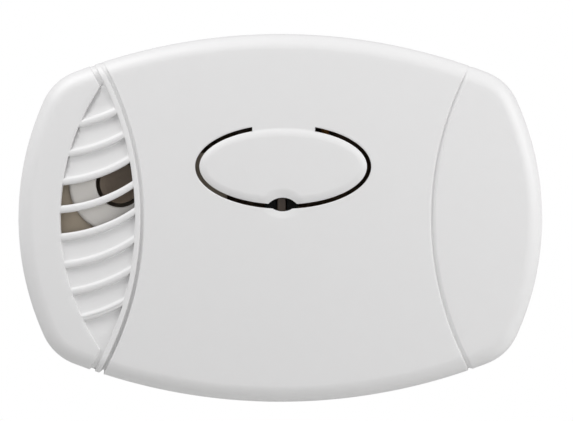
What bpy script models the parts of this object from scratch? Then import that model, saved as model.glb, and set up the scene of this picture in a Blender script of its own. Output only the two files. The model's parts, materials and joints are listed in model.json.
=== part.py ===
"""A carbon monoxide alarm that hangs on a wall bracket and runs on two AA cells.

Frame: +X to the right across the front, +Y into the wall, +Z up. The wall plane is Y = 0, and the
origin lies on the bracket's wall side, in line with the middle of the front. All sizes are in
metres; MM turns millimetres into them. Everything but the bracket lifts off it along +Z.
"""

import math

import bmesh
import bpy
from mathutils import Matrix, Vector

MM = 0.001
GAP = 0.3 * MM  # between pieces that touch
PAST = 2.0 * MM  # how far a cutter reaches past what it cuts

# Overall outline, as seen from the front, and depth from the wall
WIDTH = 127.0 * MM
HEIGHT = 89.2 * MM
DEPTH = 38.0 * MM
SIDE_BULGE = 16.35 * MM  # the side's middle stands this far out of its line through the corners
TOP_BULGE = 15.23 * MM
CORNER_RADIUS = 13.0 * MM
FRONT_CROWN = 1.0 * MM  # how far the front bulges between its edge and its middle
FRONT_ROLL = 4.0 * MM  # radius that turns the front into the side
COVER_WALL = 2.2 * MM

# Depth stations, measured from the wall plane
RIM_FROM_WALL = 0.3 * MM
BRACKET_THICKNESS = 2.5 * MM
BRACKET_CLEARANCE = 0.4 * MM
REAR_WALL = 2.0 * MM
REAR_RIM_WALL = 2.0 * MM
REAR_STEP = 0.8 * MM  # the rear case stands in from the cover's outline
PARTING_FROM_WALL = 10.0 * MM
LIP_HEIGHT = 3.0 * MM
LIP_WALL = 1.2 * MM

# Ornamental grooves and the rail beside the vents
GROOVE_WIDTH = 1.0 * MM
GROOVE_DEPTH = 0.6 * MM
RIGHT_GROOVE_FROM_SIDE = 26.7 * MM
RIGHT_GROOVE_RADIUS = 77.0 * MM
LEFT_GROOVE_FROM_SIDE = 30.2 * MM
LEFT_GROOVE_RADIUS = 76.0 * MM
RAIL_WIDTH = 1.2 * MM

# Vent field: a lens with curved slats
VENT_FROM_SIDE = 10.3 * MM
VENT_RADIUS = 57.0 * MM
VENT_DEPTH = 1.3 * MM
VENT_BACKING = 1.2 * MM  # wall left behind the blind slots
SLAT_COUNT = 8
SLAT_HEIGHT = 1.75 * MM
SLAT_PITCH = 6.71 * MM
SLAT_RADIUS = 36.6 * MM
SLAT_LOW_FROM_SIDE = 7.7 * MM  # where a slat's curve is lowest
TOP_SLAT_Z = 22.0 * MM
OPEN_SLOTS = (2, 3)  # the slots that go right through, below these slats

# Test button, a flap that hangs from a living hinge at its top
BUTTON_X = 0.7 * MM
BUTTON_Z = 12.4 * MM
BUTTON_HALF_WIDTH = 20.2 * MM
BUTTON_HALF_HEIGHT = 9.15 * MM
BUTTON_SLOT = 1.05 * MM
BUTTON_RAISE = 0.6 * MM  # the button stands this far out of the cover
BRIDGE_LEFT = 7.45 * MM  # from the button's middle
BRIDGE_RIGHT = 7.7 * MM
HINGE_FROM_TOP = 0.3 * MM
BUTTON_POST_RADIUS = 1.5 * MM
SWITCH_BELOW_BUTTON = 1.4 * MM

# Indicator window
WINDOW_X = 0.55 * MM
WINDOW_Z = 3.25 * MM
WINDOW_HALF_WIDTH = 3.55 * MM
WINDOW_HALF_HEIGHT = 1.65 * MM
LED_X = 0.3 * MM
LED_Z = 2.9 * MM
LED_WIDTH = 1.9 * MM
LED_HEIGHT = 3.6 * MM
LED_EDGE = 0.3 * MM
LED_BELOW_FRONT = 3.4 * MM
LED_PROUD = 0.8 * MM  # out of its holder
LED_HOLDER_HALF_WIDTH = 4.0 * MM
LED_HOLDER_HALF_HEIGHT = 2.6 * MM

# Two AA cells side by side
CELL_RADIUS = 7.25 * MM
CELL_LENGTH = 50.5 * MM
CELL_NUB_RADIUS = 2.6 * MM
CELL_NUB_LENGTH = 1.2 * MM
CELL_EDGE = 0.6 * MM
CELL_SPACING_GAP = 0.6 * MM
CELL_SIDE_CLEARANCE = 0.4 * MM
SPRING_LENGTH = 5.0 * MM
SPRING_WIRE = 0.35 * MM
SPRING_TURNS = 3.5
SPRING_BASE_RADIUS = 4.6 * MM
SPRING_TIP_RADIUS = 2.2 * MM
CONTACT_THICKNESS = 0.5 * MM
CONTACT_WIDTH = 10.0 * MM
COMPARTMENT_WALL = 1.4 * MM
COMPARTMENT_FROM_BOTTOM = 7.6 * MM

# Battery door
DOOR_THICKNESS = 1.8 * MM
DOOR_CLEARANCE = 0.3 * MM
BARREL_RADIUS = 1.5 * MM
BARREL_CLEARANCE = 0.6 * MM
BARREL_HALF_LENGTH = 25.0 * MM
TRUNNION_RADIUS = 0.8 * MM
TRUNNION_LENGTH = 0.9 * MM
LATCH_WIDTH = 12.0 * MM
LATCH_SLOT = 1.0 * MM
LATCH_LENGTH = 8.0 * MM

# Wall bracket and its hooks
BRACKET_HALF_WIDTH = 38.0 * MM
BRACKET_TOP_MARGIN = 10.6 * MM
BRACKET_ABOVE_DOOR = 3.2 * MM
BRACKET_CORNER = 5.0 * MM
HOOK_X = 27.0 * MM
HOOK_WIDTH = 8.0 * MM
HOOK_STEM = 2.0 * MM
HOOK_LIP = 1.6 * MM
HOOK_RISE = 5.0 * MM
HOOK_SIDE_CLEARANCE = 0.5 * MM
HOOK_ROW_PITCH = 20.0 * MM
LIFT_TRAVEL = HOOK_RISE + 1.0 * MM
SCREW_SLOT_X = 15.0 * MM
SCREW_SLOT_RADIUS = 2.3 * MM
SCREW_SLOT_SINK_RADIUS = 4.3 * MM
SCREW_SLOT_LENGTH = 6.0 * MM
SCREW_SLOT_FROM_TOP = 13.0 * MM

# Case screws
SCREW_OUTSIDE_CORNER = 2.0 * MM  # from the corner arc's centre towards the corner
SCREW_HEAD_RADIUS = 2.8 * MM
SCREW_HEAD_HEIGHT = 1.8 * MM
SCREW_SHANK_RADIUS = 1.2 * MM
SCREW_LENGTH = 14.0 * MM
SCREW_SEAT_FROM_WALL = 7.7 * MM
BOSS_RADIUS = 3.3 * MM
BOSS_START_FROM_WALL = 12.0 * MM
POST_RADIUS = 4.3 * MM

# Circuit board
BOARD_THICKNESS = 1.6 * MM
BOARD_FROM_BATTERY_BOX = 0.8 * MM
BOARD_INSET = 6.0 * MM
BOARD_CORNER_CLEARANCE = 0.6 * MM
BOARD_SCREW_X = 14.0 * MM
BOARD_SCREW_FROM_TOP = 13.0 * MM
BOARD_SCREW_HEAD_RADIUS = 2.5 * MM
BOARD_SCREW_HEAD_HEIGHT = 1.5 * MM
BOARD_SCREW_LENGTH = 7.0 * MM
BOARD_POST_RADIUS = 3.0 * MM

# Horn
HORN_FROM_SIDE = 24.6 * MM
HORN_Z = 8.4 * MM
HORN_RADIUS = 12.4 * MM
HORN_WALL = 1.2 * MM
HORN_HOLE_RADIUS = 5.8 * MM
HORN_LEDGE_WIDTH = 1.5 * MM
HORN_FRONT_CLEARANCE = 0.6 * MM
HORN_DISC_FROM_BOARD = 3.0 * MM
DISC_THICKNESS = 0.3 * MM
CERAMIC_RADIUS = 7.0 * MM
HORN_PIN_RADIUS = 0.5 * MM
HORN_PIN_SPACING = 8.0 * MM
PLUG_RADIUS = 4.9 * MM
PLUG_BELOW_HORN = 1.2 * MM
PLUG_DISH = 0.8 * MM
BAFFLE_BELOW_HORN = 0.9 * MM
BAFFLE_THICKNESS = 1.0 * MM
BAFFLE_PAST_HORN_LEFT = 5.6 * MM
BAFFLE_PAST_HORN_RIGHT = 3.1 * MM
BAFFLE_PAST_HORN_BELOW = 2.0 * MM
BAFFLE_ABOVE = 9.0 * MM  # from the horn's middle
BAFFLE_CORNER = 2.0 * MM
BAFFLE_LEG = 2.0 * MM
BAFFLE_LEG_INSET = 1.4 * MM  # a leg's middle, from the plate's right, upper and lower edges
BAFFLE_LEG_PAST_HORN_LEFT = 0.7 * MM

# Gas sensor, on the back of the board
SENSOR_X = 34.0 * MM
SENSOR_Z = 14.0 * MM
SENSOR_RADIUS = 9.8 * MM
SENSOR_LENGTH = 10.5 * MM
SENSOR_CAP_LENGTH = 2.2 * MM
SENSOR_INLET_RADIUS = 1.5 * MM

# Test switch
SWITCH_SIDE = 6.0 * MM
SWITCH_HEIGHT = 4.3 * MM
PLUNGER_RADIUS = 1.7 * MM
PLUNGER_PROUD = 2.4 * MM
PLUNGER_DEPTH = 1.2 * MM
PLUNGER_TRAVEL = 0.5 * MM

# Other parts on the board
CHIP_X = -4.0 * MM
CHIP_Z = -18.0 * MM
CHIP_LENGTH = 12.0 * MM
CHIP_WIDTH = 7.5 * MM
CHIP_HEIGHT = 2.4 * MM
CHIP_LEGS = 9
CHIP_LEG_REACH = 1.2 * MM
CAPACITOR_X = 30.0 * MM
CAPACITOR_Z = -14.0 * MM
CAPACITOR_RADIUS = 4.0 * MM
CAPACITOR_CLEARANCE = 1.5 * MM  # behind the cover
CAPACITOR_EDGE = 0.5 * MM
COIL_X = -10.0 * MM
COIL_Z = 25.0 * MM
COIL_RADIUS = 4.5 * MM
COIL_CLEARANCE = 2.5 * MM
COIL_FLANGE = 1.0 * MM
RESISTOR_FIRST_X = 12.0 * MM
RESISTOR_Z = -22.0 * MM
RESISTOR_RADIUS = 1.1 * MM
RESISTOR_LENGTH = 6.0 * MM
RESISTOR_PITCH = 4.0 * MM
RESISTOR_COUNT = 4
RESISTOR_LIFT = 0.6 * MM
RESISTOR_LEG = 1.2 * MM
LEG_WIRE_RADIUS = 0.3 * MM
LEG_BEND = 0.4 * MM
FILM_CAPACITOR_PAST_BAFFLE = 1.2 * MM
FILM_CAPACITOR_Z = 10.0 * MM
FILM_CAPACITOR_WIDTH = 9.2 * MM
FILM_CAPACITOR_LENGTH = 11.6 * MM
FILM_CAPACITOR_CLEARANCE = 0.6 * MM
FILM_CAPACITOR_CORNER = 0.8 * MM
DISC_CAPACITOR_X = 10.9 * MM
DISC_CAPACITOR_Z = 20.9 * MM
DISC_CAPACITOR_RADIUS = 2.8 * MM
DISC_CAPACITOR_THICKNESS = 2.2 * MM
DISC_CAPACITOR_LEG_PITCH = 2.5 * MM
DISC_CAPACITOR_CLEARANCE = 1.4 * MM

# What follows from those sizes
HALF_WIDTH = WIDTH / 2
HALF_HEIGHT = HEIGHT / 2
SIDE_RADIUS = (HALF_HEIGHT**2 + SIDE_BULGE**2) / (2 * SIDE_BULGE)
TOP_RADIUS = (HALF_WIDTH**2 + TOP_BULGE**2) / (2 * TOP_BULGE)
FRONT_Y = -DEPTH
FACE_EDGE_Y = FRONT_Y + FRONT_CROWN  # the face where its rolled edge begins
COVER_INNER_Y = FACE_EDGE_Y + COVER_WALL
PARTING_Y = -PARTING_FROM_WALL
REAR_FACE_Y = -BRACKET_THICKNESS - BRACKET_CLEARANCE
REAR_INNER_Y = REAR_FACE_Y - REAR_WALL
CELL_Y = REAR_INNER_Y - CELL_SIDE_CLEARANCE - CELL_RADIUS
FLOOR_Y = CELL_Y - CELL_RADIUS - CELL_SIDE_CLEARANCE
BOARD_BACK_Y = FLOOR_Y - COMPARTMENT_WALL - BOARD_FROM_BATTERY_BOX
BOARD_FRONT_Y = BOARD_BACK_Y - BOARD_THICKNESS
VENT_PAD_Y = FRONT_Y + FRONT_CROWN + VENT_DEPTH + VENT_BACKING
HORN_X = -HALF_WIDTH + HORN_FROM_SIDE
HORN_FRONT_Y = VENT_PAD_Y + HORN_FRONT_CLEARANCE
BAFFLE_RIGHT = HORN_X + HORN_RADIUS + BAFFLE_PAST_HORN_RIGHT

COMPARTMENT_BOTTOM = -HALF_HEIGHT + COMPARTMENT_FROM_BOTTOM
LOWER_CELL_Z = COMPARTMENT_BOTTOM + CELL_SIDE_CLEARANCE + CELL_RADIUS
UPPER_CELL_Z = LOWER_CELL_Z + 2 * CELL_RADIUS + CELL_SPACING_GAP
COMPARTMENT_TOP = UPPER_CELL_Z + CELL_RADIUS + CELL_SIDE_CLEARANCE
COMPARTMENT_HALF_WIDTH = (CELL_LENGTH + SPRING_LENGTH + 2 * CONTACT_THICKNESS + 6 * GAP) / 2
DOOR_TOP = COMPARTMENT_TOP - DOOR_CLEARANCE
DOOR_HINGE_Y = REAR_FACE_Y - BARREL_RADIUS
DOOR_HINGE_Z = COMPARTMENT_BOTTOM + BARREL_RADIUS + BARREL_CLEARANCE

BRACKET_BOTTOM = DOOR_TOP + BRACKET_ABOVE_DOOR
BRACKET_TOP = HALF_HEIGHT - BRACKET_TOP_MARGIN
LOWER_HOOK_Z = COMPARTMENT_TOP + COMPARTMENT_WALL + LIFT_TRAVEL + 2 * HOOK_SIDE_CLEARANCE
HOOK_LIP_BACK_Y = REAR_INNER_Y - HOOK_SIDE_CLEARANCE
HOOK_FRONT_Y = HOOK_LIP_BACK_Y - HOOK_LIP

BUTTON_HINGE_Z = BUTTON_Z + BUTTON_HALF_HEIGHT - HINGE_FROM_TOP
BUTTON_HINGE_Y = FRONT_Y + COVER_WALL / 2
SWITCH_Z = BUTTON_Z - SWITCH_BELOW_BUTTON
ON_BOARD_Y = BOARD_FRONT_Y - GAP  # where the parts on the board's front begin
PLUNGER_TIP_Y = ON_BOARD_Y - SWITCH_HEIGHT - PLUNGER_PROUD

ARC_STEPS = 5
CORNER_STEPS = 5
ROUND_STEPS = 32
DISH_STEPS = 4


# ---------------------------------------------------------------- materials and objects


def clear_scene():
    for item in list(bpy.data.objects):
        bpy.data.objects.remove(item, do_unlink=True)


def make_material(name, colour, roughness=0.5, metallic=0.0):
    """A Principled material; colour is three linear values."""
    material = bpy.data.materials.new(name)
    material.use_nodes = True
    shader = material.node_tree.nodes["Principled BSDF"]
    shader.inputs["Base Color"].default_value = (*colour, 1.0)
    shader.inputs["Roughness"].default_value = roughness
    shader.inputs["Metallic"].default_value = metallic
    return material


def make_empty(name, location, parent=None):
    """An empty on a joint's axis, for the moving pieces to hang from."""
    empty = bpy.data.objects.new(name, None)
    bpy.context.scene.collection.objects.link(empty)
    attach(empty, parent)
    empty.location = location
    return empty


def attach(item, parent):
    """Parent an item and keep it where its own location puts it in the world."""
    if parent is None:
        return
    offset = Vector((0.0, 0.0, 0.0))
    above = parent
    while above is not None:
        offset += above.location + above.matrix_parent_inverse.translation
        above = above.parent
    item.parent = parent
    item.matrix_parent_inverse = Matrix.Translation(-offset)


def make_object(name, mesh, material=None, parent=None, location=(0, 0, 0), smooth_angle=35.0):
    """Link a mesh into the scene as one named piece."""
    item = bpy.data.objects.new(name, mesh)
    bpy.context.scene.collection.objects.link(item)
    attach(item, parent)
    item.location = location
    if material is not None and not mesh.materials:
        mesh.materials.append(material)
    mesh.shade_smooth()
    mesh.set_sharp_from_angle(angle=math.radians(smooth_angle))
    return item


def as_cutter(item):
    """Hide a helper shape, so that only the piece it shapes is part of the model."""
    item.hide_render = True
    item.display_type = "WIRE"
    return item


def boolean(item, other, operation="DIFFERENCE"):
    modifier = item.modifiers.new(operation.lower(), "BOOLEAN")
    modifier.operation = operation
    modifier.object = as_cutter(other)
    modifier.solver = "EXACT"


# ---------------------------------------------------------------- outlines


def arc(centre, radius, start, end, steps, ends=(True, True)):
    """Points of an arc in the XZ plane, angles in radians from +X towards +Z."""
    points = []
    for i in range(steps + 1):
        if (i == 0 and not ends[0]) or (i == steps and not ends[1]):
            continue
        angle = start + (end - start) * i / steps
        points.append((centre[0] + radius * math.cos(angle), centre[1] + radius * math.sin(angle)))
    return points


def corner_centre():
    """The centre of the corner arc that touches the side arc and the top arc from inside."""
    side_x = HALF_WIDTH - SIDE_RADIUS
    top_z = HALF_HEIGHT - TOP_RADIUS
    to_side = SIDE_RADIUS - CORNER_RADIUS
    to_top = TOP_RADIUS - CORNER_RADIUS
    apart = math.hypot(side_x, top_z)
    along = (to_side**2 - to_top**2 + apart**2) / (2 * apart)
    across = math.sqrt(to_side**2 - along**2)
    unit = (-side_x / apart, top_z / apart)
    return (
        side_x + along * unit[0] - across * unit[1],
        along * unit[1] + across * unit[0],
    )


def outline(inset=0.0):
    """The body's outline in the XZ plane, moved in by inset, counter-clockwise from +X."""
    side_centre = (HALF_WIDTH - SIDE_RADIUS, 0.0)
    top_centre = (0.0, HALF_HEIGHT - TOP_RADIUS)
    corner = corner_centre()
    low = math.atan2(corner[1] - side_centre[1], corner[0] - side_centre[0])
    high = math.atan2(corner[1] - top_centre[1], corner[0] - top_centre[0])
    quarter = arc(side_centre, SIDE_RADIUS - inset, 0.0, low, ARC_STEPS, (True, False))
    quarter += arc(corner, CORNER_RADIUS - inset, low, high, CORNER_STEPS)
    quarter += arc(top_centre, TOP_RADIUS - inset, high, math.pi / 2, ARC_STEPS, (False, True))
    left = [(-x, z) for x, z in reversed(quarter[:-1])]
    half = quarter + left
    return half + [(x, -z) for x, z in reversed(half[1:-1])]


def screw_places():
    """Where the four case screws stand, just outside the corner arcs' centres."""
    x, z = corner_centre()
    length = math.hypot(x, z)
    x += SCREW_OUTSIDE_CORNER * x / length
    z += SCREW_OUTSIDE_CORNER * z / length
    return [(x, z), (-x, z), (-x, -z), (x, -z)]


def rectangle(x_low, x_high, z_low, z_high, radius=0.0, steps=4):
    """A rectangle in the XZ plane, with round corners if a radius is given."""
    if radius <= 0.0:
        return [(x_low, z_low), (x_high, z_low), (x_high, z_high), (x_low, z_high)]
    points = []
    centres = [
        (x_high - radius, z_high - radius),
        (x_low + radius, z_high - radius),
        (x_low + radius, z_low + radius),
        (x_high - radius, z_low + radius),
    ]
    for i, centre in enumerate(centres):
        points += arc(centre, radius, i * math.pi / 2, (i + 1) * math.pi / 2, steps)
    return points


def obround(centre, radius, length, steps=8):
    """A slot outline that stands upright: two half circles, length apart."""
    x, z = centre
    return arc((x, z + length / 2), radius, 0.0, math.pi, steps) + arc(
        (x, z - length / 2), radius, math.pi, math.tau, steps
    )


# ---------------------------------------------------------------- meshes


def finish_mesh(bm, name):
    bmesh.ops.recalc_face_normals(bm, faces=bm.faces[:])
    mesh = bpy.data.meshes.new(name)
    bm.to_mesh(mesh)
    bm.free()
    return mesh


def loft(name, rings, closed_loop=False):
    """Skin a list of rings of equal length; the ends get caps unless the loop closes."""
    bm = bmesh.new()
    rows = [[bm.verts.new(point) for point in ring] for ring in rings]
    count = len(rows[0])
    pairs = list(zip(rows, rows[1:]))
    if closed_loop:
        pairs.append((rows[-1], rows[0]))
    for row, following in pairs:
        for i in range(count):
            j = (i + 1) % count
            bm.faces.new((row[i], row[j], following[j], following[i]))
    if not closed_loop:
        bm.faces.new(rows[0])
        bm.faces.new(rows[-1])
    return finish_mesh(bm, name)


def ring_at(outline_points, y):
    return [(x, y, z) for x, z in outline_points]


def prism(name, outline_points, y_start, y_end):
    """A straight block whose outline lies in the XZ plane."""
    return loft(name, [ring_at(outline_points, y_start), ring_at(outline_points, y_end)])


def box(name, low, high):
    return prism(name, rectangle(low[0], high[0], low[2], high[2]), low[1], high[1])


def turned(name, profile, steps=ROUND_STEPS):
    """Turn a closed profile of (radius, y) points about the Y axis."""
    bm = bmesh.new()
    rows = []
    for radius, y in profile:
        if radius < GAP / 10:
            rows.append([bm.verts.new((0.0, y, 0.0))] * steps)
        else:
            angles = [math.tau * i / steps for i in range(steps)]
            rows.append(
                [bm.verts.new((radius * math.cos(a), y, radius * math.sin(a))) for a in angles]
            )
    for row, following in zip(rows, rows[1:] + rows[:1]):
        for i in range(steps):
            j = (i + 1) % steps
            corners = list(dict.fromkeys((row[i], row[j], following[j], following[i])))
            if len(corners) > 2:
                bm.faces.new(corners)
    return finish_mesh(bm, name)


def cylinder_profile(radius, y_start, y_end):
    return [(0.0, y_start), (radius, y_start), (radius, y_end), (0.0, y_end)]


def tube_along(name, points, radius, sides=6):
    """A round wire along a path, with a frame carried from point to point."""
    path = [Vector(point) for point in points]
    rings = []
    side = None
    for i, point in enumerate(path):
        ahead = path[min(i + 1, len(path) - 1)] - path[max(i - 1, 0)]
        ahead.normalize()
        if side is None:
            side = ahead.orthogonal().normalized()
        side = (side - ahead * side.dot(ahead)).normalized()
        across = ahead.cross(side)
        angles = [math.tau * k / sides for k in range(sides)]
        rings.append([point + radius * (math.cos(a) * side + math.sin(a) * across) for a in angles])
    return loft(name, rings)


# ---------------------------------------------------------------- cover and button


def cover_rings(inset, roll, back_y, edge_y, middle_y, roll_steps=4, face_steps=3):
    """Rings of a domed tray from its open back to near the middle of its face."""
    rings = [ring_at(outline(inset), back_y)]
    for i in range(roll_steps + 1):
        angle = math.pi / 2 * i / roll_steps
        y = edge_y + roll * (1 - math.sin(angle))
        rings.append(ring_at(outline(inset + roll * (1 - math.cos(angle))), y))
    face = outline(inset + roll)
    for i in range(1, face_steps + 1):
        share = 1 - i / (face_steps + 1)
        y = middle_y + (edge_y - middle_y) * share**2
        rings.append([(x * share, y, z * share) for x, z in face])
    return rings


def cover_shell(name, back_y):
    """The cover's plain shell: domed outside, hollow inside, open at the back."""
    outer = cover_rings(0.0, FRONT_ROLL, back_y, FACE_EDGE_Y, FRONT_Y)
    inner_roll = FRONT_ROLL - COVER_WALL
    inner = cover_rings(
        COVER_WALL, inner_roll, back_y, FACE_EDGE_Y + COVER_WALL, FRONT_Y + COVER_WALL, 3, 2
    )
    bm = bmesh.new()
    count = len(outer[0])
    ends = []
    for rings in (outer, inner):
        rows = [[bm.verts.new(point) for point in ring] for ring in rings]
        for row, following in zip(rows, rows[1:]):
            for i in range(count):
                j = (i + 1) % count
                bm.faces.new((row[i], row[j], following[j], following[i]))
        bm.faces.new(rows[-1])
        ends.append(rows[0])
    for i in range(count):
        j = (i + 1) % count
        bm.faces.new((ends[0][i], ends[0][j], ends[1][j], ends[1][i]))
    return finish_mesh(bm, name)


def cover_core(name, depth):
    """The space that starts this deep under the cover's outer surface."""
    rings = cover_rings(depth, FRONT_ROLL - depth, PAST, FACE_EDGE_Y + depth, FRONT_Y + depth)
    return loft(name, rings)


def groove_band(side, from_side, radius, width):
    """The outline of a curved groove that bulges towards the middle of the front."""
    apex = HALF_WIDTH - from_side
    centre = (side * (apex + radius), 0.0)
    reach = math.asin(min(0.95, (HALF_HEIGHT + PAST) / radius))
    middle = math.pi if side > 0 else 0.0
    steps = 2 * ARC_STEPS + 4
    outer = arc(centre, radius + width / 2, middle - reach, middle + reach, steps)
    inner = arc(centre, radius - width / 2, middle - reach, middle + reach, steps)
    return outer + inner[::-1]


def groove_cutter(name, side, from_side, radius, width, depth):
    """A curved band that only reaches the given depth under the cover's surface."""
    band = prism(name, groove_band(side, from_side, radius, width), FRONT_Y - PAST, PAST)
    cutter = make_object(name, band)
    boolean(cutter, make_object(name + "_core", cover_core(name + "_core", depth)))
    return cutter


def vent_arcs():
    """Centres and radii of the two circles whose overlap is the vent field."""
    left_edge = -HALF_WIDTH + VENT_FROM_SIDE
    groove_apex = -HALF_WIDTH + LEFT_GROOVE_FROM_SIDE
    rail_edge = groove_apex - GROOVE_WIDTH / 2 - RAIL_WIDTH
    left = ((left_edge + VENT_RADIUS, 0.0), VENT_RADIUS)
    right_centre = groove_apex - LEFT_GROOVE_RADIUS
    return left, ((right_centre, 0.0), rail_edge - right_centre)


def vent_lens(grow=0.0):
    """The outline of the vent field, made larger by grow."""
    (left_centre, left_radius), (right_centre, right_radius) = vent_arcs()
    left_radius += grow
    right_radius += grow
    apart = left_centre[0] - right_centre[0]
    along = (right_radius**2 - left_radius**2 + apart**2) / (2 * apart)
    half = math.sqrt(right_radius**2 - along**2)
    right_reach = math.atan2(half, along)
    left_reach = math.atan2(half, apart - along)
    steps = 2 * ARC_STEPS
    points = arc(right_centre, right_radius, -right_reach, right_reach, steps, (True, False))
    start = math.pi - left_reach
    return points + arc(left_centre, left_radius, start, math.tau - start, steps, (True, False))


def slat_z(index, x):
    """The height of a slat's centre line at x."""
    lowest_x = -HALF_WIDTH + SLAT_LOW_FROM_SIDE
    run = min(abs(x - lowest_x), 0.9 * SLAT_RADIUS)
    rise = SLAT_RADIUS - math.sqrt(SLAT_RADIUS**2 - run**2)
    return TOP_SLAT_Z - index * SLAT_PITCH + rise


def slot_cutter(name, index, through):
    """The space below a slat: a wedge that is deepest under it, or a slot right through."""
    left_edge = -HALF_WIDTH + VENT_FROM_SIDE - PAST
    right_edge = -HALF_WIDTH + LEFT_GROOVE_FROM_SIDE
    steps = 8
    front = FRONT_Y - PAST
    deep = FRONT_Y + FRONT_CROWN + VENT_DEPTH
    rings = []
    for i in range(steps + 1):
        x = left_edge + (right_edge - left_edge) * i / steps
        top = slat_z(index, x) - SLAT_HEIGHT / 2
        bottom = slat_z(index + 1, x) + SLAT_HEIGHT / 2
        if through:
            back = VENT_PAD_Y + PAST
            rings.append([(x, front, top), (x, back, top), (x, back, bottom), (x, front, bottom)])
        else:
            edge = FACE_EDGE_Y - FRONT_CROWN / 2
            rings.append([(x, front, top), (x, deep, top), (x, edge, bottom), (x, front, bottom)])
    return make_object(name, loft(name, rings))


def button_outline(grow, bridge_grow):
    """The button's ellipse, larger by grow, or by bridge_grow where the bridge holds it."""
    points = []
    steps = 2 * ROUND_STEPS
    for i in range(steps):
        angle = math.tau * i / steps
        wide = BUTTON_HALF_WIDTH * math.cos(angle)
        at_bridge = math.sin(angle) > 0 and -BRIDGE_LEFT < wide < BRIDGE_RIGHT
        more = bridge_grow if at_bridge else grow
        points.append(
            (
                BUTTON_X + (BUTTON_HALF_WIDTH + more) * math.cos(angle),
                BUTTON_Z + (BUTTON_HALF_HEIGHT + more) * math.sin(angle),
            )
        )
    return points


def window_outline():
    """The indicator window, a lens of two arcs."""
    radius = (WINDOW_HALF_WIDTH**2 + WINDOW_HALF_HEIGHT**2) / (2 * WINDOW_HALF_HEIGHT)
    reach = math.asin(WINDOW_HALF_WIDTH / radius)
    drop = radius - WINDOW_HALF_HEIGHT
    points = []
    for side in (1, -1):
        middle = side * math.pi / 2
        centre = (WINDOW_X, WINDOW_Z - side * drop)
        points += arc(centre, radius, middle - reach, middle + reach, 6, (True, False))
    return points


def make_front_cover(material, parent):
    cover = make_object("front_cover", cover_shell("front_cover", PARTING_Y), material, parent)
    pad_front = FACE_EDGE_Y + COVER_WALL / 2
    pad = prism("vent_pad", vent_lens(VENT_BACKING), pad_front, VENT_PAD_Y)
    boolean(cover, make_object("vent_pad", pad), "UNION")
    for i, (x, z) in enumerate(screw_places()):
        name = f"boss_{i + 1}"
        start = FACE_EDGE_Y + 0.75 * COVER_WALL  # deeper in the wall than the pad's front
        profile = cylinder_profile(BOSS_RADIUS, start, -BOSS_START_FROM_WALL)
        boolean(cover, make_object(name, turned(name, profile, 20), location=(x, 0, z)), "UNION")
    for i, (x, z) in enumerate(screw_places()):
        name = f"boss_hole_{i + 1}"
        end = -SCREW_SEAT_FROM_WALL - SCREW_LENGTH - 2 * GAP
        profile = cylinder_profile(SCREW_SHANK_RADIUS + GAP, PAST, end)
        boolean(cover, make_object(name, turned(name, profile, 12), location=(x, 0, z)))

    field_block = prism("vent_field", vent_lens(), FRONT_Y - PAST, VENT_PAD_Y + PAST)
    field = make_object("vent_field", field_block)
    for i in range(-1, SLAT_COUNT):
        cutter = slot_cutter(f"slot_{i + 1}", i, i in OPEN_SLOTS)
        boolean(cutter, field, "INTERSECT")
        boolean(cover, cutter)
    grooves = (
        ("right_groove", 1, RIGHT_GROOVE_FROM_SIDE, RIGHT_GROOVE_RADIUS),
        ("left_groove", -1, LEFT_GROOVE_FROM_SIDE, LEFT_GROOVE_RADIUS),
    )
    for name, side, from_side, radius in grooves:
        boolean(cover, groove_cutter(name, side, from_side, radius, GROOVE_WIDTH, GROOVE_DEPTH))

    for name, hole in (
        ("button_opening", button_outline(BUTTON_SLOT, GAP)),
        ("cover_window", window_outline()),
    ):
        cutter = prism(name, hole, FRONT_Y - PAST, FRONT_Y + 4 * COVER_WALL)
        boolean(cover, make_object(name, cutter))
    return cover


def make_test_button(material, hinge):
    """The flap repeats the cover's surface, raised, and a post on its back reaches the switch."""
    button = make_object(
        "test_button",
        prism("test_button", button_outline(0.0, 0.0), FRONT_Y - PAST, FRONT_Y + 4 * COVER_WALL),
        material,
        hinge,
    )
    shell = cover_shell("button_skin", PARTING_Y)
    skin = make_object("button_skin", shell, location=(0, -BUTTON_RAISE, 0))
    boolean(button, skin, "INTERSECT")
    tip = PLUNGER_TIP_Y - GAP
    profile = cylinder_profile(BUTTON_POST_RADIUS, FRONT_Y + COVER_WALL / 2, tip)
    post_mesh = turned("button_post", profile, 16)
    post = make_object("button_post", post_mesh, location=(BUTTON_X, 0, SWITCH_Z))
    boolean(button, post, "UNION")
    window = prism("button_window", window_outline(), FRONT_Y - PAST, FRONT_Y + 2 * COVER_WALL)
    boolean(button, make_object("button_window", window))
    return button


# ---------------------------------------------------------------- rear case, door and bracket


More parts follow.
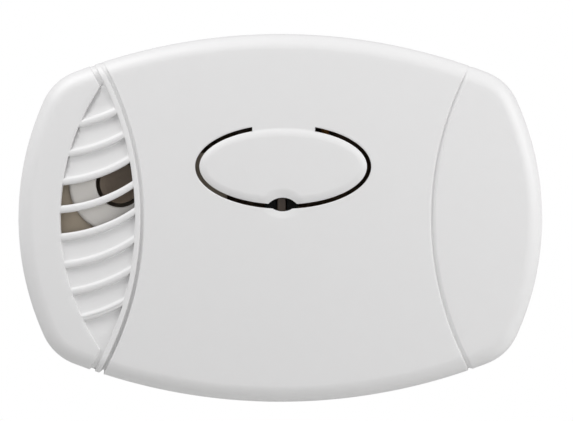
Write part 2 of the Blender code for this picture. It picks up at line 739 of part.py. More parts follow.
def make_rear_case(material, parent):
    """A tray with a rim, a recess for the bracket, a battery box, and posts for the screws."""
    outer = outline(REAR_STEP)
    inner = outline(REAR_STEP + REAR_RIM_WALL)
    lip_inset = COVER_WALL + GAP
    lip_outer = outline(lip_inset)
    lip_inner = outline(lip_inset + LIP_WALL)
    step_y = PARTING_Y + GAP
    rings = [
        ring_at(outer, -RIM_FROM_WALL),
        ring_at(outer, step_y),
        ring_at(lip_outer, step_y),
        ring_at(lip_outer, PARTING_Y - LIP_HEIGHT),
        ring_at(lip_inner, PARTING_Y - LIP_HEIGHT),
        ring_at(lip_inner, REAR_INNER_Y - REAR_WALL),
        ring_at(outline(lip_inset + LIP_WALL + REAR_WALL), REAR_INNER_Y),
    ]
    back = [ring_at(inner, -RIM_FROM_WALL), ring_at(inner, REAR_FACE_Y)]
    case = make_object("rear_case", tray(rings, back), material, parent)

    half = COMPARTMENT_HALF_WIDTH
    wall = COMPARTMENT_WALL
    shell = box(
        "battery_box",
        (-half - wall, FLOOR_Y - wall, COMPARTMENT_BOTTOM - wall),
        (half + wall, REAR_FACE_Y - REAR_WALL / 2, COMPARTMENT_TOP + wall),
    )
    boolean(case, make_object("battery_box", shell), "UNION")
    hollow = box("battery_hollow", (-half, FLOOR_Y, COMPARTMENT_BOTTOM), (half, PAST, COMPARTMENT_TOP))
    boolean(case, make_object("battery_hollow", hollow))
    reach = half + TRUNNION_LENGTH + GAP
    profile = cylinder_profile(TRUNNION_RADIUS + GAP, -reach, reach)
    socket = turned("trunnion_sockets", profile, 12)
    sockets = make_object("trunnion_sockets", socket, location=(0, DOOR_HINGE_Y, DOOR_HINGE_Z))
    sockets.rotation_euler = (0, 0, math.pi / 2)
    boolean(case, sockets)

    for i, (x, z) in enumerate(screw_places()):
        name = f"post_{i + 1}"
        profile = cylinder_profile(POST_RADIUS, REAR_FACE_Y - REAR_WALL / 2, -BOSS_START_FROM_WALL + GAP)
        boolean(case, make_object(name, turned(name, profile, 20), location=(x, 0, z)), "UNION")
        name = f"post_hole_{i + 1}"
        seat = -SCREW_SEAT_FROM_WALL
        end = PARTING_Y - 2 * PAST
        head = SCREW_HEAD_RADIUS + GAP
        shank = SCREW_SHANK_RADIUS + GAP
        profile = [(0.0, PAST), (head, PAST), (head, seat), (shank, seat), (shank, end), (0.0, end)]
        boolean(case, make_object(name, turned(name, profile, 16), location=(x, 0, z)))

    for i, (x, z) in enumerate(board_screw_places()):
        name = f"board_post_{i + 1}"
        profile = cylinder_profile(BOARD_POST_RADIUS, REAR_FACE_Y - REAR_WALL / 2, BOARD_BACK_Y + GAP)
        boolean(case, make_object(name, turned(name, profile, 16), location=(x, 0, z)), "UNION")
        name = f"board_post_hole_{i + 1}"
        end = BOARD_FRONT_Y + BOARD_SCREW_LENGTH + 2 * GAP
        profile = cylinder_profile(SCREW_SHANK_RADIUS + GAP, end, BOARD_FRONT_Y)
        boolean(case, make_object(name, turned(name, profile, 12), location=(x, 0, z)))

    for i, (x, z) in enumerate(hook_places()):
        name = f"hook_slot_{i + 1}"
        half_slot = HOOK_WIDTH / 2 + HOOK_SIDE_CLEARANCE
        top = z + HOOK_STEM + GAP
        bottom = z - LIFT_TRAVEL - HOOK_SIDE_CLEARANCE
        slot = box(name, (x - half_slot, REAR_INNER_Y - PAST / 2, bottom), (x + half_slot, PAST, top))
        boolean(case, make_object(name, slot))
    return case


def tray(front_rings, back_rings):
    """A tray skinned from its back rim round its front, with both of its floors closed."""
    bm = bmesh.new()
    front = [[bm.verts.new(point) for point in ring] for ring in front_rings]
    back = [[bm.verts.new(point) for point in ring] for ring in back_rings]
    count = len(front[0])
    pairs = list(zip(front, front[1:])) + list(zip(back, back[1:])) + [(front[0], back[0])]
    for row, following in pairs:
        for i in range(count):
            j = (i + 1) % count
            bm.faces.new((row[i], row[j], following[j], following[i]))
    bm.faces.new(front[-1])
    bm.faces.new(back[-1])
    return finish_mesh(bm, "rear_case")


def board_screw_places():
    z = HALF_HEIGHT - BOARD_SCREW_FROM_TOP
    return [(-BOARD_SCREW_X, z), (BOARD_SCREW_X, z)]


def hook_places():
    rows = (LOWER_HOOK_Z, LOWER_HOOK_Z + HOOK_ROW_PITCH)
    return [(side * HOOK_X, z) for z in rows for side in (-1, 1)]


def make_battery_door(material, hinge):
    """A plate in the case's opening with a barrel and two trunnions at its lower edge."""
    half = COMPARTMENT_HALF_WIDTH - DOOR_CLEARANCE
    plate = box(
        "battery_door",
        (-half, REAR_FACE_Y - DOOR_THICKNESS, DOOR_HINGE_Z),
        (half, REAR_FACE_Y, DOOR_TOP),
    )
    door = make_object("battery_door", plate, material, hinge)
    trunnion_end = COMPARTMENT_HALF_WIDTH + TRUNNION_LENGTH
    lengths = ((BARREL_RADIUS, BARREL_HALF_LENGTH), (TRUNNION_RADIUS, trunnion_end))
    for i, (radius, length) in enumerate(lengths):
        name = f"door_barrel_{i + 1}"
        barrel = make_object(
            name,
            turned(name, cylinder_profile(radius, -length, length), 20),
            location=(0, DOOR_HINGE_Y, DOOR_HINGE_Z),
        )
        barrel.rotation_euler = (0, 0, math.pi / 2)
        boolean(door, barrel, "UNION")
    for side in (-1, 1):
        name = "latch_slot_left" if side < 0 else "latch_slot_right"
        middle = side * (LATCH_WIDTH + LATCH_SLOT) / 2
        slot = box(
            name,
            (middle - LATCH_SLOT / 2, REAR_FACE_Y - DOOR_THICKNESS - PAST, DOOR_TOP - LATCH_LENGTH),
            (middle + LATCH_SLOT / 2, PAST, DOOR_TOP + PAST),
        )
        boolean(door, make_object(name, slot))
    return door


def make_bracket(material):
    """The plate that is screwed to the wall, with four hooks that hold the alarm."""
    plate = prism(
        "mounting_bracket",
        rectangle(-BRACKET_HALF_WIDTH, BRACKET_HALF_WIDTH, BRACKET_BOTTOM, BRACKET_TOP, BRACKET_CORNER),
        -BRACKET_THICKNESS,
        0.0,
    )
    bracket = make_object("mounting_bracket", plate, material)
    for i, (x, z) in enumerate(hook_places()):
        name = f"hook_{i + 1}"
        profile = [
            (-BRACKET_THICKNESS / 2, z),
            (HOOK_FRONT_Y, z),
            (HOOK_FRONT_Y, z + HOOK_STEM + HOOK_RISE),
            (HOOK_LIP_BACK_Y, z + HOOK_STEM + HOOK_RISE),
            (HOOK_LIP_BACK_Y, z + HOOK_STEM),
            (-BRACKET_THICKNESS / 2, z + HOOK_STEM),
        ]
        rings = [[(x + side * HOOK_WIDTH / 2, y, zz) for y, zz in profile] for side in (-1, 1)]
        boolean(bracket, make_object(name, loft(name, rings)), "UNION")
    for side in (-1, 1):
        name = "screw_slot_left" if side < 0 else "screw_slot_right"
        centre = (side * SCREW_SLOT_X, BRACKET_TOP - SCREW_SLOT_FROM_TOP)
        sunk = obround(centre, SCREW_SLOT_SINK_RADIUS, SCREW_SLOT_LENGTH)
        plain = obround(centre, SCREW_SLOT_RADIUS, SCREW_SLOT_LENGTH)
        rings = [
            ring_at(sunk, -BRACKET_THICKNESS - GAP),
            ring_at(plain, -BRACKET_THICKNESS / 3),
            ring_at(plain, PAST),
        ]
        boolean(bracket, make_object(name, loft(name, rings)))
    return bracket


# ---------------------------------------------------------------- screws


def make_screws(material, parent):
    head_y = -SCREW_SEAT_FROM_WALL + GAP
    profile = [
        (0.0, head_y + SCREW_HEAD_HEIGHT),
        (0.7 * SCREW_HEAD_RADIUS, head_y + SCREW_HEAD_HEIGHT),
        (SCREW_HEAD_RADIUS, head_y + SCREW_HEAD_HEIGHT / 2),
        (SCREW_HEAD_RADIUS, head_y),
        (SCREW_SHANK_RADIUS, head_y),
        (SCREW_SHANK_RADIUS, head_y - SCREW_LENGTH + SCREW_SHANK_RADIUS),
        (0.0, head_y - SCREW_LENGTH),
    ]
    mesh = turned("case_screw", profile, 16)
    for i, (x, z) in enumerate(screw_places()):
        make_object(f"case_screw_{i + 1}", mesh, material, parent, (x, 0, z))

    head_y = BOARD_FRONT_Y - GAP
    profile = [
        (0.0, head_y - BOARD_SCREW_HEAD_HEIGHT),
        (0.7 * BOARD_SCREW_HEAD_RADIUS, head_y - BOARD_SCREW_HEAD_HEIGHT),
        (BOARD_SCREW_HEAD_RADIUS, head_y - BOARD_SCREW_HEAD_HEIGHT / 2),
        (BOARD_SCREW_HEAD_RADIUS, head_y),
        (SCREW_SHANK_RADIUS, head_y),
        (SCREW_SHANK_RADIUS, head_y + BOARD_SCREW_LENGTH - SCREW_SHANK_RADIUS),
        (0.0, head_y + BOARD_SCREW_LENGTH),
    ]
    mesh = turned("board_screw", profile, 14)
    for i, (x, z) in enumerate(board_screw_places()):
        make_object(f"board_screw_{i + 1}", mesh, material, parent, (x, 0, z))


# ---------------------------------------------------------------- batteries


def make_cells(material, parent):
    """Two cells that point opposite ways; each mesh runs from its flat end along +Y."""
    body = CELL_LENGTH - CELL_NUB_LENGTH
    profile = [
        (0.0, 0.0),
        (CELL_RADIUS - CELL_EDGE, 0.0),
        (CELL_RADIUS, CELL_EDGE),
        (CELL_RADIUS, body - CELL_EDGE),
        (CELL_RADIUS - CELL_EDGE, body),
        (CELL_NUB_RADIUS, body),
        (CELL_NUB_RADIUS, CELL_LENGTH),
        (0.0, CELL_LENGTH),
    ]
    mesh = turned("battery_cell", profile, 28)
    start = -COMPARTMENT_HALF_WIDTH + 3 * GAP + CONTACT_THICKNESS + SPRING_LENGTH
    for i, (direction, z) in enumerate(((1, UPPER_CELL_Z), (-1, LOWER_CELL_Z))):
        place = (direction * start, CELL_Y, z)
        cell = make_object(f"battery_cell_{i + 1}", mesh, material, parent, place)
        cell.rotation_euler = (0, 0, -direction * math.pi / 2)


def make_contacts(material, parent):
    """One plate that bridges both cells on the left, and a plate for each cell on the right."""
    outer = COMPARTMENT_HALF_WIDTH - GAP
    inner = outer - CONTACT_THICKNESS
    half = CONTACT_WIDTH / 2
    bridge = box(
        "battery_bridge_plate",
        (-outer, CELL_Y - half, LOWER_CELL_Z - half),
        (-inner, CELL_Y + half, UPPER_CELL_Z + half),
    )
    make_object("battery_bridge_plate", bridge, material, parent)
    for name, z in (("battery_plus_plate", UPPER_CELL_Z), ("battery_minus_plate", LOWER_CELL_Z)):
        plate = box(name, (inner, CELL_Y - half, z - half), (outer, CELL_Y + half, z + half))
        make_object(name, plate, material, parent)

    steps = round(SPRING_TURNS * 10)
    for i, (direction, z) in enumerate(((1, UPPER_CELL_Z), (-1, LOWER_CELL_Z))):
        points = []
        for k in range(steps + 1):
            share = k / steps
            angle = math.tau * SPRING_TURNS * share
            radius = SPRING_BASE_RADIUS + (SPRING_TIP_RADIUS - SPRING_BASE_RADIUS) * share
            along = SPRING_WIRE + (SPRING_LENGTH - 2 * SPRING_WIRE) * share
            x = direction * (-inner + GAP + along)
            points.append((x, CELL_Y + radius * math.cos(angle), z + radius * math.sin(angle)))
        name = f"battery_spring_{i + 1}"
        make_object(name, tube_along(name, points, SPRING_WIRE), material, parent)


# ---------------------------------------------------------------- board and what it carries


def make_board(material, parent):
    board = prism("circuit_board", outline(BOARD_INSET), BOARD_FRONT_Y, BOARD_BACK_Y)
    item = make_object("circuit_board", board, material, parent)
    holes = [(place, BOSS_RADIUS + BOARD_CORNER_CLEARANCE) for place in screw_places()]
    holes += [(place, SCREW_SHANK_RADIUS + GAP) for place in board_screw_places()]
    for i, ((x, z), radius) in enumerate(holes):
        name = f"board_hole_{i + 1}"
        profile = cylinder_profile(radius, BOARD_FRONT_Y - PAST, BOARD_BACK_Y + PAST)
        boolean(item, make_object(name, turned(name, profile, 20), location=(x, 0, z)))
    return item


def make_horn(plastic, brass, ceramic, plug_material, metal, parent):
    """A resonator cup and a dished plug over a brass disc, which two spring pins feed from behind."""
    disc = BOARD_FRONT_Y - HORN_DISC_FROM_BOARD
    disc_front = disc - DISC_THICKNESS
    bore = HORN_RADIUS - HORN_WALL
    cup = [
        (HORN_HOLE_RADIUS, HORN_FRONT_Y),
        (HORN_RADIUS, HORN_FRONT_Y),
        (HORN_RADIUS, ON_BOARD_Y),
        (bore, ON_BOARD_Y),
        (bore, disc_front - GAP),
        (bore - HORN_LEDGE_WIDTH, disc_front - GAP),
        (bore - HORN_LEDGE_WIDTH, HORN_FRONT_Y + HORN_WALL),
        (HORN_HOLE_RADIUS, HORN_FRONT_Y + HORN_WALL),
    ]
    plug_front = HORN_FRONT_Y + PLUG_BELOW_HORN
    plug = [(0.0, disc_front - GAP), (PLUG_RADIUS, disc_front - GAP)]
    for step in range(DISH_STEPS + 1):
        share = 1 - step / DISH_STEPS
        plug.append((PLUG_RADIUS * share, plug_front + PLUG_DISH * (1 - share**2)))
    layer = cylinder_profile(CERAMIC_RADIUS, disc + GAP, disc + GAP + DISC_THICKNESS)
    pin_centre = cylinder_profile(HORN_PIN_RADIUS, disc + 2 * GAP + DISC_THICKNESS, ON_BOARD_Y)
    pin_rim = cylinder_profile(HORN_PIN_RADIUS, disc + GAP, ON_BOARD_Y)
    for name, profile, steps, material, across in (
        ("horn_resonator", cup, 40, plastic, 0.0),
        ("horn_plug", plug, ROUND_STEPS, plug_material, 0.0),
        ("piezo_disc", cylinder_profile(bore - GAP, disc_front, disc), ROUND_STEPS, brass, 0.0),
        ("piezo_ceramic", layer, ROUND_STEPS, ceramic, 0.0),
        ("horn_pin_centre", pin_centre, 10, metal, 0.0),
        ("horn_pin_rim", pin_rim, 10, metal, HORN_PIN_SPACING),
    ):
        mesh = turned(name, profile, steps)
        make_object(name, mesh, material, parent, (HORN_X + across, 0, HORN_Z))


def make_baffle(material, parent):
    """A plate on four legs that closes the space behind the vents; the horn sits in its notch."""
    front = HORN_FRONT_Y + BAFFLE_BELOW_HORN
    back = front + BAFFLE_THICKNESS
    left = HORN_X - HORN_RADIUS - BAFFLE_PAST_HORN_LEFT
    bottom = HORN_Z - HORN_RADIUS - BAFFLE_PAST_HORN_BELOW
    top = HORN_Z + BAFFLE_ABOVE
    edge = rectangle(left, BAFFLE_RIGHT, bottom, top, BAFFLE_CORNER, 3)
    baffle = make_object("horn_baffle", prism("horn_baffle", edge, front, back), material, parent)
    half = BAFFLE_LEG / 2
    columns = (HORN_X - HORN_RADIUS - BAFFLE_LEG_PAST_HORN_LEFT, BAFFLE_RIGHT - BAFFLE_LEG_INSET)
    rows = (bottom + BAFFLE_LEG_INSET, top - BAFFLE_LEG_INSET)
    for i, (x, z) in enumerate((x, z) for x in columns for z in rows):
        name = f"baffle_leg_{i + 1}"
        leg = box(name, (x - half, back - BAFFLE_THICKNESS / 2, z - half), (x + half, ON_BOARD_Y, z + half))
        boolean(baffle, make_object(name, leg), "UNION")
    hole = turned("baffle_hole", cylinder_profile(HORN_RADIUS + GAP, front - PAST, back + PAST), 40)
    boolean(baffle, make_object("baffle_hole", hole, location=(HORN_X, 0, HORN_Z)))


def make_sensor(can, plastic, parent):
    start = BOARD_BACK_Y + GAP
    place = (SENSOR_X, 0, SENSOR_Z)
    body = turned("gas_sensor", cylinder_profile(SENSOR_RADIUS, start, start + SENSOR_LENGTH))
    make_object("gas_sensor", body, can, parent, place)
    cap_start = start + SENSOR_LENGTH + GAP
    profile = [
        (SENSOR_INLET_RADIUS, cap_start),
        (SENSOR_RADIUS, cap_start),
        (SENSOR_RADIUS, cap_start + SENSOR_CAP_LENGTH),
        (SENSOR_INLET_RADIUS, cap_start + SENSOR_CAP_LENGTH),
    ]
    make_object("gas_sensor_cap", turned("gas_sensor_cap", profile), plastic, parent, place)


def make_switch(body_material, plunger_material, parent, slide):
    """A square switch with a well, and a plunger that the button's post pushes."""
    top = ON_BOARD_Y - SWITCH_HEIGHT
    half = SWITCH_SIDE / 2
    body = box(
        "switch_body",
        (BUTTON_X - half, top, SWITCH_Z - half),
        (BUTTON_X + half, ON_BOARD_Y, SWITCH_Z + half),
    )
    item = make_object("switch_body", body, body_material, parent)
    bottom = top + PLUNGER_DEPTH + PLUNGER_TRAVEL + GAP
    well = turned("switch_well", cylinder_profile(PLUNGER_RADIUS + GAP, top - PAST, bottom), 20)
    boolean(item, make_object("switch_well", well, location=(BUTTON_X, 0, SWITCH_Z)))
    profile = cylinder_profile(PLUNGER_RADIUS, PLUNGER_TIP_Y, top + PLUNGER_DEPTH)
    plunger = turned("switch_plunger", profile, 20)
    make_object("switch_plunger", plunger, plunger_material, slide, (BUTTON_X, 0, SWITCH_Z))


def make_led(lens_material, holder_material, parent):
    """A tall lens behind the window, and the holder that it stands out of."""
    front = FRONT_Y + LED_BELOW_FRONT
    half = LED_WIDTH / 2
    tall = LED_HEIGHT / 2
    edge = rectangle(LED_X - half, LED_X + half, LED_Z - tall, LED_Z + tall, LED_EDGE, 2)
    lens = prism("status_led", edge, front, ON_BOARD_Y)
    make_object("status_led", lens, lens_material, parent)
    block = box(
        "led_holder",
        (LED_X - LED_HOLDER_HALF_WIDTH, front + LED_PROUD, LED_Z - LED_HOLDER_HALF_HEIGHT),
        (LED_X + LED_HOLDER_HALF_WIDTH, ON_BOARD_Y, LED_Z + LED_HOLDER_HALF_HEIGHT),
    )
    holder = make_object("led_holder", block, holder_material, parent)
    half += GAP
    tall += GAP
    well = box(
        "led_well",
        (LED_X - half, front - PAST, LED_Z - tall),
        (LED_X + half, ON_BOARD_Y + PAST, LED_Z + tall),
    )
    boolean(holder, make_object("led_well", well))


def make_chip(material, parent):
    """The controller: a block with two rows of legs."""
    body = box(
        "controller_chip",
        (CHIP_X - CHIP_LENGTH / 2, ON_BOARD_Y - CHIP_HEIGHT, CHIP_Z - CHIP_WIDTH / 2),
        (CHIP_X + CHIP_LENGTH / 2, ON_BOARD_Y - 0.2 * CHIP_HEIGHT, CHIP_Z + CHIP_WIDTH / 2),
    )
    chip = make_object("controller_chip", body, material, parent)
    pitch = CHIP_LENGTH / CHIP_LEGS
    leg = pitch / 4
    reach = CHIP_WIDTH / 2 + CHIP_LEG_REACH
    for i in range(CHIP_LEGS):
        x = CHIP_X + (i - (CHIP_LEGS - 1) / 2) * pitch
        name = f"chip_leg_{i + 1}"
        bar = box(
            name,
            (x - leg, ON_BOARD_Y - 0.4 * CHIP_HEIGHT, CHIP_Z - reach),
            (x + leg, ON_BOARD_Y, CHIP_Z + reach),
        )
        boolean(chip, make_object(name, bar), "UNION")


def make_round_parts(can, ferrite, parent):
    """The main capacitor and the coil that drives the horn."""
    radius = CAPACITOR_RADIUS
    end = COVER_INNER_Y + CAPACITOR_CLEARANCE
    profile = [
        (0.0, ON_BOARD_Y),
        (radius, ON_BOARD_Y),
        (radius, end + CAPACITOR_EDGE),
        (radius - CAPACITOR_EDGE, end),
        (0.0, end),
    ]
    place = (CAPACITOR_X, 0, CAPACITOR_Z)
    make_object("main_capacitor", turned("main_capacitor", profile, 24), can, parent, place)
    waist = COIL_RADIUS - COIL_FLANGE
    end = COVER_INNER_Y + COIL_CLEARANCE
    profile = [
        (0.0, ON_BOARD_Y),
        (COIL_RADIUS, ON_BOARD_Y),
        (COIL_RADIUS, ON_BOARD_Y - COIL_FLANGE),
        (waist, ON_BOARD_Y - COIL_FLANGE),
        (waist, end + COIL_FLANGE),
        (COIL_RADIUS, end + COIL_FLANGE),
        (COIL_RADIUS, end),
        (0.0, end),
    ]
    place = (COIL_X, 0, COIL_Z)
    make_object("horn_coil", turned("horn_coil", profile, 24), ferrite, parent, place)


def make_film_capacitor(material, parent):
    """A block with round corners, tall enough to come close behind the cover."""
    left = BAFFLE_RIGHT + FILM_CAPACITOR_PAST_BAFFLE
    bottom = FILM_CAPACITOR_Z - FILM_CAPACITOR_LENGTH / 2
    edge = rectangle(
        left,
        left + FILM_CAPACITOR_WIDTH,
        bottom,
        bottom + FILM_CAPACITOR_LENGTH,
        FILM_CAPACITOR_CORNER,
        3,
    )
    body = prism("film_capacitor", edge, COVER_INNER_Y + FILM_CAPACITOR_CLEARANCE, ON_BOARD_Y)
    make_object("film_capacitor", body, material, parent)


def make_disc_capacitor(material, parent):
    """A thin lens on edge, on two straight legs; its thickness lies along X."""
    radius = DISC_CAPACITOR_RADIUS
    half = DISC_CAPACITOR_THICKNESS / 2
    middle_y = COVER_INNER_Y + DISC_CAPACITOR_CLEARANCE + radius
    rim = 0.7 * radius
    profile = [(0.0, -half), (rim, -0.8 * half), (radius, 0.0), (rim, 0.8 * half), (0.0, half)]
    lens = turned("disc_capacitor", profile, 24)
    place = (DISC_CAPACITOR_X, middle_y, DISC_CAPACITOR_Z)
    item = make_object("disc_capacitor", lens, material, parent, place)
    item.rotation_euler = (0, 0, math.pi / 2)
    for side in (-1, 1):
        name = "disc_capacitor_leg_low" if side < 0 else "disc_capacitor_leg_high"
        leg = turned(name, cylinder_profile(LEG_WIRE_RADIUS, middle_y, ON_BOARD_Y), 8)
        z = DISC_CAPACITOR_Z + side * DISC_CAPACITOR_LEG_PITCH / 2
        boolean(item, make_object(name, leg, location=(DISC_CAPACITOR_X, 0, z)), "UNION")


def make_resistors(material, parent):
    """Axial resistors on bent wire legs, side by side below the button."""
    lift = RESISTOR_RADIUS + RESISTOR_LIFT
    half = RESISTOR_LENGTH / 2
    high = half + RESISTOR_LEG
    low = high + LEG_BEND
    for i in range(RESISTOR_COUNT):
        x = RESISTOR_FIRST_X + i * RESISTOR_PITCH
        name = f"resistor_{i + 1}"
        path = [
            (x, ON_BOARD_Y, RESISTOR_Z - low),
            (x, ON_BOARD_Y - lift, RESISTOR_Z - high),
            (x, ON_BOARD_Y - lift, RESISTOR_Z + high),
            (x, ON_BOARD_Y, RESISTOR_Z + low),
        ]
        item = make_object(name, tube_along(name, path, LEG_WIRE_RADIUS), material, parent)
        body = turned(name + "_body", cylinder_profile(RESISTOR_RADIUS, -half, half), 12)
        barrel = make_object(name + "_body", body, location=(x, ON_BOARD_Y - lift, RESISTOR_Z))
        barrel.rotation_euler = (math.pi / 2, 0, 0)
        boolean(item, barrel, "UNION")


def main():
    clear_scene()
    white = make_material("white_plastic", (0.74, 0.73, 0.73), 0.42)
    bracket_white = make_material("bracket_plastic", (0.68, 0.68, 0.67), 0.55)
    horn_white = make_material("horn_plastic", (0.72, 0.70, 0.67), 0.5)
    taupe = make_material("taupe_plastic", (0.34, 0.28, 0.22), 0.55)
    plug_brown = make_material("plug_brown", (0.17, 0.13, 0.08), 0.5)
    disc_orange = make_material("disc_orange", (0.50, 0.22, 0.05), 0.4)
    dark_plastic = make_material("black_plastic", (0.02, 0.02, 0.02), 0.45)
    board_brown = make_material("board_phenolic", (0.30, 0.17, 0.08), 0.6)
    brass = make_material("brass", (0.75, 0.55, 0.25), 0.35, 1.0)
    ceramic = make_material("piezo_ceramic", (0.62, 0.60, 0.55), 0.5)
    steel = make_material("plated_steel", (0.62, 0.62, 0.63), 0.3, 1.0)
    can = make_material("aluminium_can", (0.70, 0.71, 0.73), 0.35, 1.0)
    ferrite = make_material("ferrite_coil", (0.10, 0.06, 0.04), 0.6)
    amber = make_material("led_lens", (0.45, 0.20, 0.08), 0.25)
    cell_jacket = make_material("cell_jacket", (0.05, 0.05, 0.06), 0.4)
    resistor_tan = make_material("resistor_body", (0.60, 0.42, 0.24), 0.5)

    lift = make_empty("alarm_lift", (0, 0, 0))
    button_hinge = make_empty("button_hinge", (BUTTON_X, BUTTON_HINGE_Y, BUTTON_HINGE_Z), lift)
    switch_slide = make_empty("switch_slide", (BUTTON_X, PLUNGER_TIP_Y, SWITCH_Z), lift)
    door_hinge = make_empty("door_hinge", (0, DOOR_HINGE_Y, DOOR_HINGE_Z), lift)

    make_bracket(bracket_white)
    make_rear_case(white, lift)
    make_front_cover(white, lift)
    make_test_button(white, button_hinge)
    make_battery_door(white, door_hinge)
    make_screws(steel, lift)
    make_cells(cell_jacket, lift)
    make_contacts(steel, lift)
    make_board(board_brown, lift)
    make_horn(horn_white, brass, ceramic, plug_brown, steel, lift)
    make_baffle(taupe, lift)
    make_sensor(can, dark_plastic, lift)
    make_switch(dark_plastic, dark_plastic, lift, switch_slide)
    make_led(amber, dark_plastic, lift)
    make_chip(dark_plastic, lift)
    make_round_parts(can, ferrite, lift)
    make_film_capacitor(taupe, lift)
    make_disc_capacitor(disc_orange, lift)
    make_resistors(resistor_tan, lift)


main()
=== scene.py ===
"""The looks of a wall-hung carbon monoxide alarm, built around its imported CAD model.

The front of the cover, the button and the hinge strip between them are one height field, cut into
three pieces, so that they meet without a seam. Plan sizes here are in millimetres, with x to the
right and z up as seen from the front; MM turns them into the frame's metres.
"""

import json
import math

import bmesh
import bpy
import numpy as np
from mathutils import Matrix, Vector
from mathutils.geometry import delaunay_2d_cdt
from mathutils.kdtree import KDTree


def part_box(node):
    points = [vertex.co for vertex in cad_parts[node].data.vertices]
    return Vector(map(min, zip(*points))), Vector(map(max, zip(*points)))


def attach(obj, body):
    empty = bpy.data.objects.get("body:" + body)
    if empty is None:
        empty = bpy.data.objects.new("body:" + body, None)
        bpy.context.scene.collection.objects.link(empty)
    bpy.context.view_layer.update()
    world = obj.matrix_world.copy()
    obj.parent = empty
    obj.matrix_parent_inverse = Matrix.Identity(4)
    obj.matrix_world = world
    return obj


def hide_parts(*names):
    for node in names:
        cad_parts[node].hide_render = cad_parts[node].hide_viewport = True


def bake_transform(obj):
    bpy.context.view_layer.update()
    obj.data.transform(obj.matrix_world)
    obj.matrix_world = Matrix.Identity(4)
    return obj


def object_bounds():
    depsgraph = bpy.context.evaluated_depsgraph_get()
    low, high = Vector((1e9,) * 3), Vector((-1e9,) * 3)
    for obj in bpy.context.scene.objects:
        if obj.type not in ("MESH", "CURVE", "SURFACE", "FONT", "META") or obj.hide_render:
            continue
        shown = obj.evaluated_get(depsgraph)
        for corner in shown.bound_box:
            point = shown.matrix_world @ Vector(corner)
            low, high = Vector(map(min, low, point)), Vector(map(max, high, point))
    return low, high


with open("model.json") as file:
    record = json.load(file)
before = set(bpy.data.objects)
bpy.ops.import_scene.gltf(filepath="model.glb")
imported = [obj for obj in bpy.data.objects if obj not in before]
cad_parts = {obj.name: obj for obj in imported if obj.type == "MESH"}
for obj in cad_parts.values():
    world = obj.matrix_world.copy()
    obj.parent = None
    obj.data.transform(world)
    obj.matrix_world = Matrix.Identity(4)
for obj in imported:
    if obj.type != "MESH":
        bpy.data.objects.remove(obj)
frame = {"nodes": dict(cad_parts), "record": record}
CAD_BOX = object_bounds()

MM = 0.001

# ---------------------------------------------------------------- places read from the frame


def box_mm(node):
    """The two corners of a node's box, in millimetres."""
    low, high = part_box(node)
    return np.array(low) / MM, np.array(high) / MM


COVER_LOW, COVER_HIGH = box_mm("front_cover")
BUTTON_LOW, BUTTON_HIGH = box_mm("test_button")
HORN_LOW, HORN_HIGH = box_mm("horn_resonator")

HALF_WIDTH = (COVER_HIGH[0] - COVER_LOW[0]) / 2
HALF_HEIGHT = (COVER_HIGH[2] - COVER_LOW[2]) / 2
FRONT = COVER_LOW[1]
PARTING = COVER_HIGH[1]

# Outline and the way the front turns into the sides
SIDE_RADIUS = 69.0
TOP_RADIUS = 140.0
CORNER_RADIUS = 13.0
ROLL = 4.2
WALL = 2.2
SKIRT_ROUND = 0.25
CROWN_SIDE = 0.8
CROWN_TOP = 1.0

# Grooves: arcs round centres that lie left and right of the body. The rows give depth, by distance
# from the groove's edge away from the left circle's centre, or towards the right circle's centre.
LEFT_CIRCLE = (-109.3, 0.0)
RIGHT_CIRCLE = (113.8, 0.0)
LEFT_GROOVE_RADIUS = 75.5
RIGHT_GROOVE_RADIUS = 77.5
LEFT_GROOVE = [
    (-0.30, 0.0), (-0.18, 0.02), (-0.08, 0.07), (0.0, 0.20), (0.06, 0.70), (0.14, 0.95), (0.30, 1.05),
    (0.62, 1.05), (0.78, 0.95), (0.88, 0.60), (0.95, 0.12), (1.03, -0.03), (1.15, -0.03), (1.30, 0.0),
]
LEFT_GROOVE_SHARE = [(-28.0, 1.0), (-12.0, 0.75), (5.0, 0.5), (30.0, 0.5)]  # of its depth, by height
RIGHT_GROOVE = [
    (-0.30, 0.0), (-0.18, 0.02), (-0.08, 0.07), (0.0, 0.18), (0.05, 0.46), (0.12, 0.56),
    (0.30, 0.50), (0.60, 0.32), (0.85, 0.16), (1.02, 0.06), (1.15, 0.01), (1.30, 0.0),
]

# Near the top edge all carving gets shallower by up to this share, between these distances from it
CARVING_LOSS = 0.8
CARVING_FADE = (0.3, 4.5)

# Vent field: inside a circle on its left and left of the rail; it goes on as a band past its tips
RAIL_EDGE_RADIUS = 74.3
BAND_WIDTH = 1.3
VENT_CIRCLE = (3.8, 0.0)
VENT_RADIUS = 57.0
RECESS = 0.8  # above the first slat

# Depth is multiplied by the wall's rows, then by one plus the channel's, by distance from the border
EDGE_WALL = [(-0.16, 0.0), (-0.06, 0.05), (0.0, 0.16), (0.05, 0.72), (0.11, 0.95), (0.2, 1.0)]
CHANNEL = [(0.0, 0.0), (0.1, 0.2), (0.18, 0.36), (0.28, 0.28), (0.42, 0.0)]
CHANNEL_START = (-3.0, 6.0)  # the channel deepens between these heights

